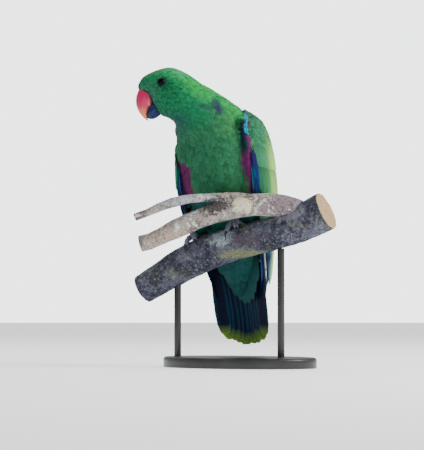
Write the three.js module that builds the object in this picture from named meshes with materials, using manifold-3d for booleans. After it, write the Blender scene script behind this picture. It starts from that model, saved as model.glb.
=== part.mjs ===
// A male eclectus parrot, life size, gripping a cut length of forked branch on a plain display stand.
// Millimetres, +Z up. The bird faces -Y and its left side is towards +X. The origin is the centre of the
// stand's underside.
import * as THREE from "three";
import Module from "manifold-3d";

const wasm = await Module();
wasm.setup();

// Driving sizes of the whole
const GAP = 0.32; // clear space between touching pieces
const BASE = { length: 196, width: 128, height: 12, bevel: 2 };
const BIRD_AT = new THREE.Vector3(-20, 2, 0); // the bird's middle seen from above, from the base's centre
const HEAD_YAW = 55; // degrees that the head is turned to the bird's right
const HEAD_AT = { across: -70, height: 317, towards: 36 }; // middle of the head, in the head's own directions

// Small helpers
const radians = THREE.MathUtils.degToRad;
const mix = THREE.MathUtils.lerp;
const vec = (x, y, z) => new THREE.Vector3(x, y, z);
const UP = vec(0, 0, 1);

// Forward and left-hand directions of a body part turned by an angle to the bird's right
const forwardOf = (yaw) => vec(-Math.sin(radians(yaw)), -Math.cos(radians(yaw)), 0);
const leftOf = (yaw) => vec(Math.cos(radians(yaw)), -Math.sin(radians(yaw)), 0);

// A place given square to the head's profile: across behind the head, up, and out of its left side
function besideHead(across, height, towards) {
  return forwardOf(HEAD_YAW)
    .multiplyScalar(-across)
    .addScaledVector(leftOf(HEAD_YAW), towards)
    .setZ(height);
}

// A place in the head's profile: ahead of and above the head's middle
function inHead(ahead, above, left = 0) {
  return besideHead(HEAD_AT.across - ahead, HEAD_AT.height + above, HEAD_AT.towards + left);
}

// Reads a table of rows, the first number of each being its key, at any key between
function readTable(rows, key) {
  const last = rows.length - 1;
  const rising = rows[last][0] > rows[0][0];
  let i = 0;
  while (i < last - 1 && (rising ? key > rows[i + 1][0] : key < rows[i + 1][0])) i++;
  const share = (key - rows[i][0]) / (rows[i + 1][0] - rows[i][0]);
  const part = THREE.MathUtils.clamp(share, 0, 1);
  return rows[i].slice(1).map((value, k) => mix(value, rows[i + 1][k + 1], part));
}

// A smooth reading of rows of numbers at a fractional row number
function smoothRow(rows, at) {
  const i = Math.min(Math.max(Math.floor(at), 0), rows.length - 2);
  const s = at - i;
  const row = (k) => rows[Math.min(Math.max(k, 0), rows.length - 1)];
  return rows[i].map((_, k) => {
    const [a, b, c, d] = [row(i - 1)[k], row(i)[k], row(i + 1)[k], row(i + 2)[k]];
    return b + 0.5 * s * (c - a + s * (2 * a - 5 * b + 4 * c - d + s * (3 * (b - c) + d - a)));
  });
}

// Solids

// A closed solid from points and triangles, turned the right way out
function closed(points, faces) {
  const make = (triVerts) =>
    new wasm.Manifold(
      new wasm.Mesh({
        numProp: 3,
        vertProperties: new Float32Array(points.flatMap((p) => [p.x, p.y, p.z])),
        triVerts: new Uint32Array(triVerts),
      }),
    );
  const made = make(faces);
  if (made.volume() > 0) return made;
  const turned = [];
  for (let i = 0; i < faces.length; i += 3) turned.push(faces[i], faces[i + 2], faces[i + 1]);
  return make(turned);
}

// A solid through rings of points, each end closed by a fan
function loft(rings) {
  const count = rings[0].length;
  const points = rings.flat();
  const faces = [];
  for (let i = 0; i < rings.length - 1; i++) {
    for (let j = 0; j < count; j++) {
      const [a, b] = [i * count + j, i * count + ((j + 1) % count)];
      faces.push(a, b, b + count, a, b + count, a + count);
    }
  }
  for (const end of [0, rings.length - 1]) {
    const middle = points.length;
    points.push(rings[end].reduce((sum, p) => sum.add(p), vec(0, 0, 0)).divideScalar(count));
    for (let j = 0; j < count; j++) {
      const [a, b] = [end * count + j, end * count + ((j + 1) % count)];
      faces.push(...(end ? [a, b, middle] : [b, a, middle]));
    }
  }
  return closed(points, faces);
}

// A thin plate, as a vane is: place(i, j, face) gives its points on the outer face, 1, and the inner one, 0
function plate(rows, columns, place) {
  const points = [];
  for (const face of [1, 0]) {
    for (let i = 0; i < rows; i++) for (let j = 0; j < columns; j++) points.push(place(i, j, face));
  }
  const under = rows * columns;
  const faces = [];
  for (let i = 0; i < rows - 1; i++) {
    for (let j = 0; j < columns - 1; j++) {
      const [a, b] = [i * columns + j, i * columns + j + 1];
      const [c, d] = [a + columns, b + columns];
      faces.push(a, b, d, a, d, c);
      faces.push(under + a, under + d, under + b, under + a, under + c, under + d);
    }
  }
  const rim = [];
  for (let j = 0; j < columns - 1; j++) rim.push(j);
  for (let i = 0; i < rows - 1; i++) rim.push(i * columns + columns - 1);
  for (let j = columns - 1; j > 0; j--) rim.push((rows - 1) * columns + j);
  for (let i = rows - 1; i > 0; i--) rim.push(i * columns);
  rim.forEach((a, k) => {
    const b = rim[(k + 1) % rim.length];
    faces.push(a, under + a, b, b, under + a, under + b);
  });
  return closed(points, faces);
}

// A round bar along a curve, its radius read at each share of the length
function bar(curve, radiusAt, sides, steps) {
  const frames = curve.computeFrenetFrames(steps, false);
  const rings = [];
  for (let i = 0; i <= steps; i++) {
    const share = i / steps;
    const middle = curve.getPointAt(share);
    const ring = [];
    for (let j = 0; j < sides; j++) {
      const turn = (j / sides) * 2 * Math.PI;
      ring.push(
        middle
          .clone()
          .addScaledVector(frames.normals[i], radiusAt(share) * Math.cos(turn))
          .addScaledVector(frames.binormals[i], radiusAt(share) * Math.sin(turn)),
      );
    }
    rings.push(ring);
  }
  return loft(rings);
}

// An ellipsoid with its own three directions
function ball(middle, radii, axes = [vec(1, 0, 0), vec(0, 1, 0), UP], across = 14, down = 8) {
  const rings = [];
  for (let i = 0; i <= down; i++) {
    const drop = mix(0.08, Math.PI - 0.08, i / down);
    const ring = [];
    for (let j = 0; j < across; j++) {
      const turn = (j / across) * 2 * Math.PI;
      ring.push(
        middle
          .clone()
          .addScaledVector(axes[0], radii[0] * Math.sin(drop) * Math.cos(turn))
          .addScaledVector(axes[1], radii[1] * Math.sin(drop) * Math.sin(turn))
          .addScaledVector(axes[2], radii[2] * Math.cos(drop)),
      );
    }
    rings.push(ring);
  }
  return loft(rings);
}

// Joins solids and keeps the largest closed surface
const join = (solids) => largest(wasm.Manifold.union(solids));
function largest(joined) {
  return joined.decompose().reduce((best, next) => (next.volume() > best.volume() ? next : best));
}

// Body: head, neck and torso as one run of sections from the tail root to the face.
// Each row is one section: its middle, then its half depth as back and up, its half width and its yaw.
const headSection = (ahead, above, back, up, half) => [
  ...inHead(ahead, above).toArray(),
  back,
  up,
  half,
  HEAD_YAW,
];
const BODY = [
  [0, 26, 111, 17, 3, 24, 0],
  [0, 26, 128, 21, 4, 30, 0],
  [0, 26.5, 152, 23.5, 6, 38, 0],
  [0, 13.5, 181, 38, 9, 46, 0],
  [0, 1, 213, 47.5, 4, 49.5, 0],
  [0, -5, 243, 48, 4, 48.5, 0],
  [-2, -12, 267, 43, 8, 45, 5],
  [-10, -29, 287, 33, 17, 38, 22],
  [-18.8, -49.8, 303, 14.2, 24.4, 29, 46],
  headSection(-14, -4, 10, 24.6, 25),
  headSection(-3, 0.7, 5, 26.7, 23.5),
  headSection(5.5, 0.3, 0.2, 26.3, 21.8),
  headSection(12.2, -2.2, -5.8, 24, 17.4),
  headSection(16.6, -5.6, -9, 20.4, 11.6),
  headSection(19, -9.4, -11.4, 14.8, 7.6),
];
const NECK_FROM = 6.4; // row of BODY where the torso meets the neck
const NECK_TO = 8.3; // row of BODY where the neck meets the head
const BODY_SIDES = 26;
const ROUNDNESS = 2.2; // 2 is an ellipse, more is squarer

const squared = (value) => Math.sign(value) * Math.abs(value) ** (2 / ROUNDNESS);

function bodyRing(at, grow = 0) {
  const [x, y, z, back, up, half, yaw] = smoothRow(BODY, at);
  const deep = forwardOf(yaw).multiplyScalar(-back).setZ(up);
  deep.setLength(deep.length() + grow);
  const side = leftOf(yaw).multiplyScalar(half + grow);
  return Array.from({ length: BODY_SIDES }, (_, j) => {
    const turn = (j / BODY_SIDES) * 2 * Math.PI;
    return vec(x, y, z)
      .addScaledVector(deep, squared(Math.cos(turn)))
      .addScaledVector(side, squared(Math.sin(turn)));
  });
}

function bodyPiece(from, to, steps, grow = 0) {
  return loft(Array.from({ length: steps + 1 }, (_, i) => bodyRing(mix(from, to, i / steps), grow)));
}

// Bill: two mandibles, each a run of sections in the head's profile.
// Each row is one section: ahead and above of its outer edge, then of its inner edge, then its half width.
const UPPER_BILL = [
  [29.4, 4.2, 10.5, -8.5, 10],
  [32.6, -2, 11, -13, 10.3],
  [33.8, -9, 14, -16, 9.6],
  [33.2, -16, 17.6, -19.6, 8.2],
  [30.4, -22.8, 20, -23.6, 6.2],
  [26.6, -28, 20.6, -27, 4.1],
  [23, -31.4, 20.2, -30.2, 2.3],
  [19.9, -33.8, 19.2, -33.2, 0.6],
];
const LOWER_BILL = [
  [2, -20, 12, -8, 8.6],
  [5, -26, 16, -10.5, 9.2],
  [10, -30, 19, -14, 8.4],
  [15.5, -31.8, 21.4, -19, 6.6],
  [20.3, -30.4, 22, -24.8, 3.4],
];

function mandible(rows, sides, steps, grow = 0) {
  const rings = [];
  for (let i = 0; i <= steps; i++) {
    const [outF, outH, inF, inH, half] = smoothRow(rows, (i / steps) * (rows.length - 1));
    const middle = inHead((outF + inF) / 2, (outH + inH) / 2);
    const out = inHead(outF, outH).sub(middle);
    out.setLength(out.length() + grow);
    rings.push(
      Array.from({ length: sides }, (_, j) => {
        const turn = (j / sides) * 2 * Math.PI;
        return middle
          .clone()
          .addScaledVector(out, Math.cos(turn))
          .addScaledVector(leftOf(HEAD_YAW), (half + grow) * Math.sin(turn));
      }),
    );
  }
  const back = rings[0][0].clone().sub(rings[1][0]).setLength(2 * grow);
  for (const point of rings[0]) point.add(back);
  return loft(rings);
}

// Eyes, with the lids raised round them
const EYE = { ahead: 1.8, above: 6.8, radius: 5.4, deep: 18.9, lid: 0.9, rim: 4.7 };

function eyeMiddle(side) {
  return inHead(EYE.ahead, EYE.above, side * EYE.deep);
}

const eyeBall = (side, radius) => ball(eyeMiddle(side), [radius, radius, radius], undefined, 12, 8);

function eyeLids(side) {
  const outward = leftOf(HEAD_YAW).multiplyScalar(side);
  const middle = eyeMiddle(side).addScaledVector(outward, 3.2);
  const rim = new THREE.TorusGeometry(EYE.rim, EYE.lid, 4, 14);
  rim.lookAt(outward);
  rim.translate(middle.x, middle.y, middle.z);
  return torusSolid(rim, 4, 14);
}

// A torus as rings of points round its own hole
function torusSolid(geometry, radial, tubular) {
  const position = geometry.getAttribute("position");
  const points = [];
  for (let i = 0; i < radial; i++) {
    for (let j = 0; j < tubular; j++) {
      points.push(new THREE.Vector3().fromBufferAttribute(position, i * (tubular + 1) + j));
    }
  }
  const faces = [];
  for (let i = 0; i < radial; i++) {
    for (let j = 0; j < tubular; j++) {
      const [a, b] = [i * tubular + j, i * tubular + ((j + 1) % tubular)];
      const [c, d] = [((i + 1) % radial) * tubular + j, ((i + 1) % radial) * tubular + ((j + 1) % tubular)];
      faces.push(a, b, d, a, d, c);
    }
  }
  return closed(points, faces);
}

// Feathers: each is a vane whose half width follows this outline from root to tip
const VANE_OUTLINE = [
  [0, 0.6],
  [0.5, 1],
  [0.86, 0.82],
  [1, 0.28],
];

// A vane on a surface: onto(across, along, out) gives the place. The root sinks and the tip stands proud.
function vane({ root, tip, width, thick, lift, sink, onto, tilt = 0 }) {
  const columns = 2;
  const run = new THREE.Vector2().subVectors(tip, root);
  const across = new THREE.Vector2(-run.y, run.x).normalize();
  return plate(VANE_OUTLINE.length, columns, (i, j, face) => {
    const [share, wide] = VANE_OUTLINE[i];
    const side = (j / (columns - 1)) * 2 - 1;
    const at = root.clone().addScaledVector(run, share).addScaledVector(across, (side * wide * width) / 2);
    const raise = lift - sink * (1 - share) + side * tilt + face * thick;
    return onto(at.x, at.y, raise);
  });
}

// A tier of vanes between a first and a last one
function tier({ count, roots, tips, widths, lifts, ...rest }) {
  return Array.from({ length: count }, (_, i) => {
    const share = count > 1 ? i / (count - 1) : 0;
    const between = (ends) => new THREE.Vector2(...ends[0]).lerp(new THREE.Vector2(...ends[1]), share);
    const bow = rest.bow ? rest.bow * (1 - (2 * share - 1) ** 2) : 0;
    return vane({
      ...rest,
      root: between(roots),
      tip: between(tips).add(new THREE.Vector2(0, -bow)),
      width: mix(widths[0], widths[1], share),
      lift: mix(lifts[0], lifts[1], share),
    });
  });
}

// Wings, folded: a wrap round the body on which everything is laid out flat.
// Each row is a height, the wrap's middle from front to back, and its radius.
const WRAP = [
  [303, -9, 25],
  [294, -9, 33],
  [285, -9.5, 43],
  [276, -9.5, 49],
  [262, -8.5, 54.3],
  [247, -6.5, 56.8],
  [221, -3, 58.5],
  [201, 0, 58],
  [165, 7, 54.5],
  [135, 12, 48.6],
  [112, 16, 44.6],
  [95, 19, 41],
  [70, 22, 38],
];
const HUG = 0.002; // how soon the wrap closes in towards the back
// Outline of the wing's fleshy part: a height, its front and back edge along the wrap, and its thickness
const WING_CORE = [
  [301, 0, 14, 2],
  [293, -4, 40, 6],
  [284, -13, 52, 9],
  [276, -18, 60, 10],
  [256, -20, 68, 10],
  [227, -22, 74, 9],
  [200, -22, 72, 8],
  [180, -18, 66, 6],
  [160, -10, 54, 4],
  [140, 0, 38, 2],
];

const onWrap = (side) => (along, height, out) => {
  const [middle, radius] = smoothTable(WRAP, height);
  const turn = along / radius;
  const reach = radius + out - HUG * Math.max(along - 30, 0) ** 2;
  return vec(side * reach * Math.cos(turn), middle + reach * Math.sin(turn), height);
};

// The smooth reading of a table by its key
function smoothTable(rows, key) {
  const last = rows.length - 1;
  let i = 0;
  while (i < last - 1 && key < rows[i + 1][0]) i++;
  const share = (key - rows[i][0]) / (rows[i + 1][0] - rows[i][0]);
  return smoothRow(rows, i + THREE.MathUtils.clamp(share, 0, 1)).slice(1);
}

function wingCore(side) {
  const onto = onWrap(side);
  const [steps, round] = [10, 12];
  const rings = [];
  for (let i = 0; i <= steps; i++) {
    const height = mix(WING_CORE[0][0], WING_CORE[WING_CORE.length - 1][0], i / steps);
    const [front, rear, thick] = readTable(WING_CORE, height);
    rings.push(
      Array.from({ length: round }, (_, j) => {
        const turn = (j / round) * 2 * Math.PI;
        const along = mix(front, rear, 0.5 - 0.5 * squared(Math.cos(turn)));
        const out = -thick / 2 - 1.2 + (thick / 2) * squared(Math.sin(turn));
        return onto(along, height, out);
      }),
    );
  }
  return loft(rings);
}

function wingFeathers(side) {
  const vanes = { onto: onWrap(side), thick: 0.8, tilt: 1 };
  const primaries = tier({
    ...vanes, count: 6, roots: [[-19, 196], [8, 178]], tips: [[12, 75], [29, 126]],
    widths: [16, 16], lifts: [-6.6, -2.2], sink: 0.3, bow: -2, tilt: 0.3,
  });
  const secondaries = tier({
    ...vanes, count: 6, roots: [[-10, 206], [62, 220]], tips: [[14, 122], [66, 130]],
    widths: [18, 20], lifts: [-2.0, -0.6], sink: 2.6, bow: -4,
  });
  const primaryCoverts = tier({
    ...vanes, count: 3, roots: [[-21, 222], [-10, 216]], tips: [[-19, 172], [-5, 162]],
    widths: [10, 13], lifts: [-2.8, -1.8], sink: 1.6,
  });
  const greaterCoverts = tier({
    ...vanes, count: 5, roots: [[-12, 240], [56, 252]], tips: [[-8, 196], [62, 196]],
    widths: [21, 22], lifts: [-0.7, 0.1], sink: 2.4,
  });
  const medianCoverts = tier({
    ...vanes, count: 5, roots: [[-12, 264], [46, 274]], tips: [[-13, 228], [58, 232]],
    widths: [21, 22], lifts: [0.1, 0.9], sink: 2.6,
  });
  return [...primaries, ...secondaries, ...primaryCoverts, ...greaterCoverts, ...medianCoverts];
}

// Tail: twelve feathers that overlap from the middle pair outwards, hung from the tail root
const TAIL = { top: 122, tip: 26, feathers: 12, width: 18, rootPitch: 2.7, tipPitch: 5 };
// a height, then the tail's middle there: to the left, and back
const TAIL_LINE = [[122, 0, 28], [26, 7, 38]];
const TAIL_SLAB = { front: 7.6, back: 4.6 }; // space that the stacked feathers take beside the tail's line

function onTail(across, height, out) {
  const share = (height - TAIL_LINE[1][0]) / (TAIL_LINE[0][0] - TAIL_LINE[1][0]);
  const middle = mix(TAIL_LINE[1][1], TAIL_LINE[0][1], share);
  const back = mix(TAIL_LINE[1][2], TAIL_LINE[0][2], share);
  return vec(middle + across, back + out, height);
}

function tail(grow = 0) {
  const half = (TAIL.feathers - 1) / 2;
  const vanes = Array.from({ length: TAIL.feathers }, (_, i) => {
    const from = i - half;
    const step = Math.abs(from);
    return vane({
      root: new THREE.Vector2(from * TAIL.rootPitch, TAIL.top),
      tip: new THREE.Vector2(from * TAIL.tipPitch, TAIL.tip + 0.3 * step * step - grow),
      width: TAIL.width + 2 * grow,
      thick: 0.9 + 2 * grow,
      lift: 2.4 - 0.95 * step + (from > 0 ? 0.45 : 0) - grow,
      sink: 0.6,
      onto: (across, height, out) => onTail(across, height, out - 0.0045 * across * across),
    });
  });
  const root = [18, 4, 16].map((radius) => radius + grow);
  return [ball(onTail(0, 112, 0), root, undefined, 12, 6), ...vanes];
}

// The space kept for the tail inside its coverts
function tailSpace() {
  const { front, back } = TAIL_SLAB;
  const corners = [[-44, -front], [44, -front], [44, back], [-44, back]];
  return loft([146, 60].map((height) => corners.map(([across, out]) => onTail(across, height, out))));
}

// Coverts under and over the tail root: a soft wedge with rows of vanes on it.
// Each row is a height, then the wedge's half width and its depth from the tail's line.
const UNDER_WEDGE = [[114, 25, 20.5], [100, 20.5, 15.5], [86, 13, 10.5], [72, 5, 7]];
const OVER_WEDGE = [[116, 24, 14.5], [100, 19, 11], [88, 13, 8.5], [78, 6, 6.5]];
// Tiers of their feathers: how many, root height, tip height, spread to a side and width
const UNDER_TIERS = [[4, 106, 84, 14, 17], [3, 94, 66, 7, 15]];
const OVER_TIERS = [[4, 108, 90, 14, 16], [3, 98, 74, 7, 14]];

function covertWedge(rows, sign) {
  const [rounds, sides] = [5, 14];
  const rings = [];
  for (let i = 0; i <= rounds; i++) {
    const height = mix(rows[0][0], rows[rows.length - 1][0], i / rounds);
    const [half, deep] = readTable(rows, height);
    rings.push(
      Array.from({ length: sides }, (_, j) => {
        const turn = (j / sides) * 2 * Math.PI;
        return onTail(half * Math.cos(turn), height, sign * deep * Math.max(Math.sin(turn), 0));
      }),
    );
  }
  return loft(rings);
}

function covertVanes(rows, sign, rowsOfVanes) {
  const onto = (across, height, out) => {
    const [half, deep] = readTable(rows, height);
    const turn = THREE.MathUtils.clamp(across / half, -1, 1) * 1.25;
    return onTail((half + out) * Math.sin(turn), height, sign * (deep + out) * Math.cos(turn));
  };
  return rowsOfVanes.flatMap(([count, top, tip, spread, width]) =>
    tier({
      onto, count, thick: 0.9, roots: [[-spread, top], [spread, top]],
      tips: [[-spread * 0.62, tip + 5], [spread * 0.62, tip + 5]],
      widths: [width, width], lifts: [0.3, 0.3], sink: 2.2, bow: 5,
    }),
  );
}

// Branch: a thick stem, a limb that forks off in front of the bird, and a twig from the limb.
// Each row is across, height, towards, in the head's directions, then a radius.
const STEM = [
  [-97, 91, -19.6, 17.6], [-83, 99, -12.5, 18.6], [-53, 117, 3, 20.4], [-24, 131, 17.6, 20.6],
  [0, 139.5, 30, 19.6], [27, 146.6, 42.6, 19.3], [56, 154, 55.4, 19.8],
  [82, 163, 66.7, 21.4], [113, 178, 80.5, 22.6],
];
const LIMB = [
  [96, 172, 72, 14], [76, 179.5, 69, 14], [56, 185, 66, 13.4], [27, 185, 64, 12.8], [-1, 179, 63, 11.8],
  [-30, 170, 62, 11.2], [-62, 156, 60, 11.6], [-86, 144.5, 57, 9.8], [-98, 141.5, 55.5, 9.6],
];
const TWIG = [
  [34, 189, 64, 7.4], [16, 193, 64.5, 6.4], [-12.6, 193.5, 66, 5.6], [-41, 192, 67, 5.1],
  [-68, 185.5, 67, 5.9],
  [-88, 177, 66, 4.9], [-104, 171, 65, 4.6],
];

function limbCurve(rows) {
  const points = rows.map(([across, height, towards]) => besideHead(across, height, towards));
  return new THREE.CatmullRomCurve3(points);
}

function limb(rows, sides, steps, grow = 0) {
  return bar(limbCurve(rows), (share) => smoothRow(rows, share * (rows.length - 1))[3] + grow, sides, steps);
}

// Where the stem passes a place across: its middle, its direction and its radius
function onStem(across) {
  let i = 0;
  while (i < STEM.length - 2 && across > STEM[i + 1][0]) i++;
  const at = i + (across - STEM[i][0]) / (STEM[i + 1][0] - STEM[i][0]);
  const place = (row) => besideHead(...smoothRow(STEM, row).slice(0, 3));
  return {
    middle: place(at),
    along: place(at + 0.1).sub(place(at - 0.1)).normalize(),
    radius: smoothRow(STEM, at)[3],
  };
}

// Legs and feet: two toes forward and two back, wrapped over the stem
const FEET = { left: 15.5, right: -29 }; // places of the feet across
const HIPS = { left: vec(25, -17, 184), right: vec(-18, -15, 183) };
const TOE = { base: 3.7, end: 2.5 };
// Each toe: turn over the stem at its start and end, and its run along the stem at its start and end
const TOES = [
  { from: 6, to: 48, start: 1.5, end: 7 },
  { from: 6, to: 54, start: -1.5, end: -5.5 },
  { from: -6, to: -54, start: 1.5, end: 8 },
  { from: -6, to: -46, start: -1.5, end: -7 },
];
const CLAW = { turn: 23, base: 1.9, tip: 0.45, dip: 1.2 };

function footFrame(name) {
  const { middle, along, radius } = onStem(FEET[name]);
  const ahead = vec(0, -1, 0).addScaledVector(along, along.y).normalize();
  const over = new THREE.Vector3().crossVectors(ahead, along).normalize();
  if (over.z < 0) over.negate();
  const place = (turn, run, out) =>
    middle
      .clone()
      .addScaledVector(along, run)
      .addScaledVector(over, (radius + out) * Math.cos(radians(turn)))
      .addScaledVector(ahead, (radius + out) * Math.sin(radians(turn)));
  return { place, over, ahead };
}

function toe(name, { from, to, start, end }) {
  const { place } = footFrame(name);
  const points = [0, 0.25, 0.5, 0.75, 1].map((share) =>
    place(mix(from, to, share), mix(start, end, share), GAP + 0.2 + mix(TOE.base, TOE.end, share)),
  );
  const knuckle = (share) => 1 + 0.09 * Math.cos(share * 6 * Math.PI);
  return bar(new THREE.CatmullRomCurve3(points), (s) => mix(TOE.base, TOE.end, s) * knuckle(s), 7, 6);
}

function claw(name, { from, to, start, end }) {
  const { place } = footFrame(name);
  const sign = Math.sign(to - from);
  const slope = (end - start) / Math.abs(to - from);
  const points = [0, 0.35, 0.7, 1].map((share) => {
    const turn = to + sign * (1.4 + CLAW.turn * share);
    const out = GAP + 0.2 + mix(TOE.end, CLAW.tip + 0.1, share) + CLAW.dip * Math.sin(Math.PI * share);
    return place(turn, end + slope * CLAW.turn * share, out);
  });
  return bar(new THREE.CatmullRomCurve3(points), (s) => mix(CLAW.base, CLAW.tip, s), 6, 6);
}

function foot(name) {
  const { place, over } = footFrame(name);
  const pad = ball(place(0, 0, 4.4), [6, 5.6, 4.6].map((r) => r * 0.9), undefined, 9, 5);
  const ankle = place(-6, 0, 12).addScaledVector(over, 1);
  const shank = new THREE.CatmullRomCurve3([place(0, 0, 5), ankle, HIPS[name]]);
  const upTo = (share) => mix(4.2, 3.6, share);
  return join([pad, bar(shank, upTo, 8, 4), ...TOES.map((each) => toe(name, each))]);
}

// The feathered thigh, from the belly to the ankle
function leg(name, grow = 0) {
  const { place } = footFrame(name);
  const ankle = place(-6, 0, 8.5 - grow);
  const line = new THREE.CatmullRomCurve3([ankle, ankle.clone().lerp(HIPS[name], 0.5), HIPS[name]]);
  return bar(line, (share) => mix(6.6, 16, Math.sin((share * Math.PI) / 2)) + grow, 14, 7);
}

// Stand
const RODS = { left: 62, right: -56 }; // places of the rods across
const ROD_RADIUS = 4;

function rod(name) {
  const { middle } = onStem(RODS[name]);
  const line = new THREE.LineCurve3(
    vec(middle.x, middle.y, BASE.height + GAP),
    vec(middle.x, middle.y, middle.z - 6),
  );
  return bar(line, () => ROD_RADIUS, 20, 1);
}

function base() {
  const heights = [[0, 0], [BASE.height - BASE.bevel, 0], [BASE.height, BASE.bevel]];
  return loft(
    heights.map(([height, inset]) =>
      Array.from({ length: 44 }, (_, j) => {
        const turn = (j / 44) * 2 * Math.PI;
        return vec(
          (BASE.length / 2 - inset) * Math.cos(turn),
          (BASE.width / 2 - inset) * Math.sin(turn),
          height,
        ).sub(BIRD_AT);
      }),
    ),
  );
}

// Putting it together: each piece is cut clear of what it meets
const sides = [["left", 1], ["right", -1]];
const stem = limb(STEM, 16, 20);
const clearOfStem = limb(STEM, 16, 20, GAP);
const limbPiece = largest(limb(LIMB, 12, 18).subtract(clearOfStem));
const clearOfLimb = limb(LIMB, 12, 18, GAP);
const twigPiece = largest(limb(TWIG, 10, 18).subtract(clearOfLimb).subtract(clearOfStem));

const upperBill = mandible(UPPER_BILL, 14, 10);
const clearOfUpperBill = mandible(UPPER_BILL, 14, 10, GAP);
const lowerBill = largest(mandible(LOWER_BILL, 12, 6).subtract(clearOfUpperBill));
const clearOfLowerBill = mandible(LOWER_BILL, 12, 6, GAP);

const JOINT = 0.013; // rows of BODY on each side of a cut, for the gap
const torsoWhole = bodyPiece(0, NECK_FROM - JOINT, 16);
const clearOfTorso = bodyPiece(-0.03, NECK_FROM - JOINT, 16, GAP);
const neckPiece = bodyPiece(NECK_FROM + JOINT, NECK_TO - JOINT, 6);
const clearOfNeck = bodyPiece(NECK_FROM, NECK_TO, 6, GAP);
const torsoPiece = largest(torsoWhole.subtract(clearOfStem));

let headPiece = bodyPiece(NECK_TO + JOINT, BODY.length - 1, 11);
headPiece = wasm.Manifold.union([headPiece, ...sides.map(([, side]) => eyeLids(side))]);
for (const [, side] of sides) headPiece = headPiece.subtract(eyeBall(side, EYE.radius + GAP));
headPiece = largest(headPiece.subtract(clearOfUpperBill).subtract(clearOfLowerBill));

const insideCoverts = tailSpace();
const clearOfTail = wasm.Manifold.union(tail(GAP));
const tailPiece = largest(join(tail()).subtract(clearOfTorso));
const underCoverts = largest(
  join([covertWedge(UNDER_WEDGE, -1), ...covertVanes(UNDER_WEDGE, -1, UNDER_TIERS)])
    .subtract(clearOfTorso)
    .subtract(insideCoverts),
);
const overCoverts = largest(
  join([covertWedge(OVER_WEDGE, 1), ...covertVanes(OVER_WEDGE, 1, OVER_TIERS)])
    .subtract(clearOfTorso)
    .subtract(insideCoverts),
);

const pieces = {
  head: headPiece,
  neck: neckPiece,
  torso: torsoPiece,
  bill_upper: upperBill,
  bill_lower: lowerBill,
  tail: tailPiece,
  tail_coverts_under: underCoverts,
  tail_coverts_over: overCoverts,
  perch_branch: stem,
  perch_limb: limbPiece,
  perch_twig: twigPiece,
  stand_base: base(),
};
for (const [name, side] of sides) {
  pieces[`eye_${name}`] = eyeBall(side, EYE.radius);
  pieces[`leg_${name}`] = largest(leg(name).subtract(clearOfTorso).subtract(clearOfStem));
  pieces[`wing_${name}`] = largest(
    join([wingCore(side), ...wingFeathers(side)])
      .subtract(clearOfTorso)
      .subtract(clearOfNeck)
      .subtract(clearOfTail)
      .subtract(clearOfStem),
  );
  pieces[`foot_${name}`] = largest(foot(name).subtract(leg(name, GAP)).subtract(clearOfTorso));
  pieces[`stand_rod_${name}`] = largest(rod(name).subtract(clearOfStem));
  TOES.forEach((each, i) => {
    pieces[`claw_${name}_${i + 1}`] = claw(name, each);
  });
}

// Materials, by the first word of each piece's name
function finish(color, roughness, metalness = 0) {
  return new THREE.MeshStandardMaterial({ color, roughness, metalness });
}
const MATERIALS = {
  head: finish(0x1f7a3e, 0.75),
  neck: finish(0x2b8a40, 0.75),
  torso: finish(0x2a7d3c, 0.75),
  tail: finish(0x14323a, 0.7),
  wing: finish(0x3f9448, 0.65),
  leg: finish(0x245f36, 0.8),
  bill_upper: finish(0xd0503f, 0.35),
  bill_lower: finish(0x15161f, 0.4),
  eye: finish(0x120d0c, 0.1),
  foot: finish(0x4a4a52, 0.7),
  claw: finish(0x1d1c20, 0.4),
  perch: finish(0x6a5f5c, 0.9),
  stand: finish(0x2b2b2d, 0.45),
};

const bird = new THREE.Group();
bird.position.copy(BIRD_AT);
for (const [name, piece] of Object.entries(pieces)) {
  const { vertProperties, triVerts, numProp } = piece.getMesh();
  const geometry = new THREE.BufferGeometry();
  geometry.setAttribute(
    "position",
    new THREE.InterleavedBufferAttribute(new THREE.InterleavedBuffer(vertProperties, numProp), 3, 0),
  );
  geometry.setIndex(new THREE.BufferAttribute(triVerts, 1));
  const mesh = new THREE.Mesh(geometry, MATERIALS[name] ?? MATERIALS[name.split("_")[0]]);
  mesh.name = name;
  bird.add(mesh);
}

export default bird;
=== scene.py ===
# A male eclectus parrot, life size, gripping a cut length of forked branch on a display stand
import math
from collections import namedtuple

import bpy
import numpy as np
from mathutils import Matrix, Vector
from mathutils.bvhtree import BVHTree


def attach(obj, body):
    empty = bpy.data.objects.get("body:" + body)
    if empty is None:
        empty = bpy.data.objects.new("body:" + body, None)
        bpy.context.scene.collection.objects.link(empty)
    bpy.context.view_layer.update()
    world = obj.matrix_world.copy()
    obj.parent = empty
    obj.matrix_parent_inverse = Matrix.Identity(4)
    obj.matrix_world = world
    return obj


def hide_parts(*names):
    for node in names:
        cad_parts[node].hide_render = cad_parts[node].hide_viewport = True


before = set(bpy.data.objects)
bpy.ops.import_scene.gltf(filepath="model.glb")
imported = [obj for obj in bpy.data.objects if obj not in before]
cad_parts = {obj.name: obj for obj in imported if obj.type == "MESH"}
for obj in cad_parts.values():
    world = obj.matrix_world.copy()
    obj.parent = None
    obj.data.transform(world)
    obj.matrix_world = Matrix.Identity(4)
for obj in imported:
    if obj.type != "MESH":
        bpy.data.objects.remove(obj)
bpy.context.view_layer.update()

MM = 0.001  # sizes and places below are in millimetres in the bird's own frame
draw = np.random.default_rng(11)

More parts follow.
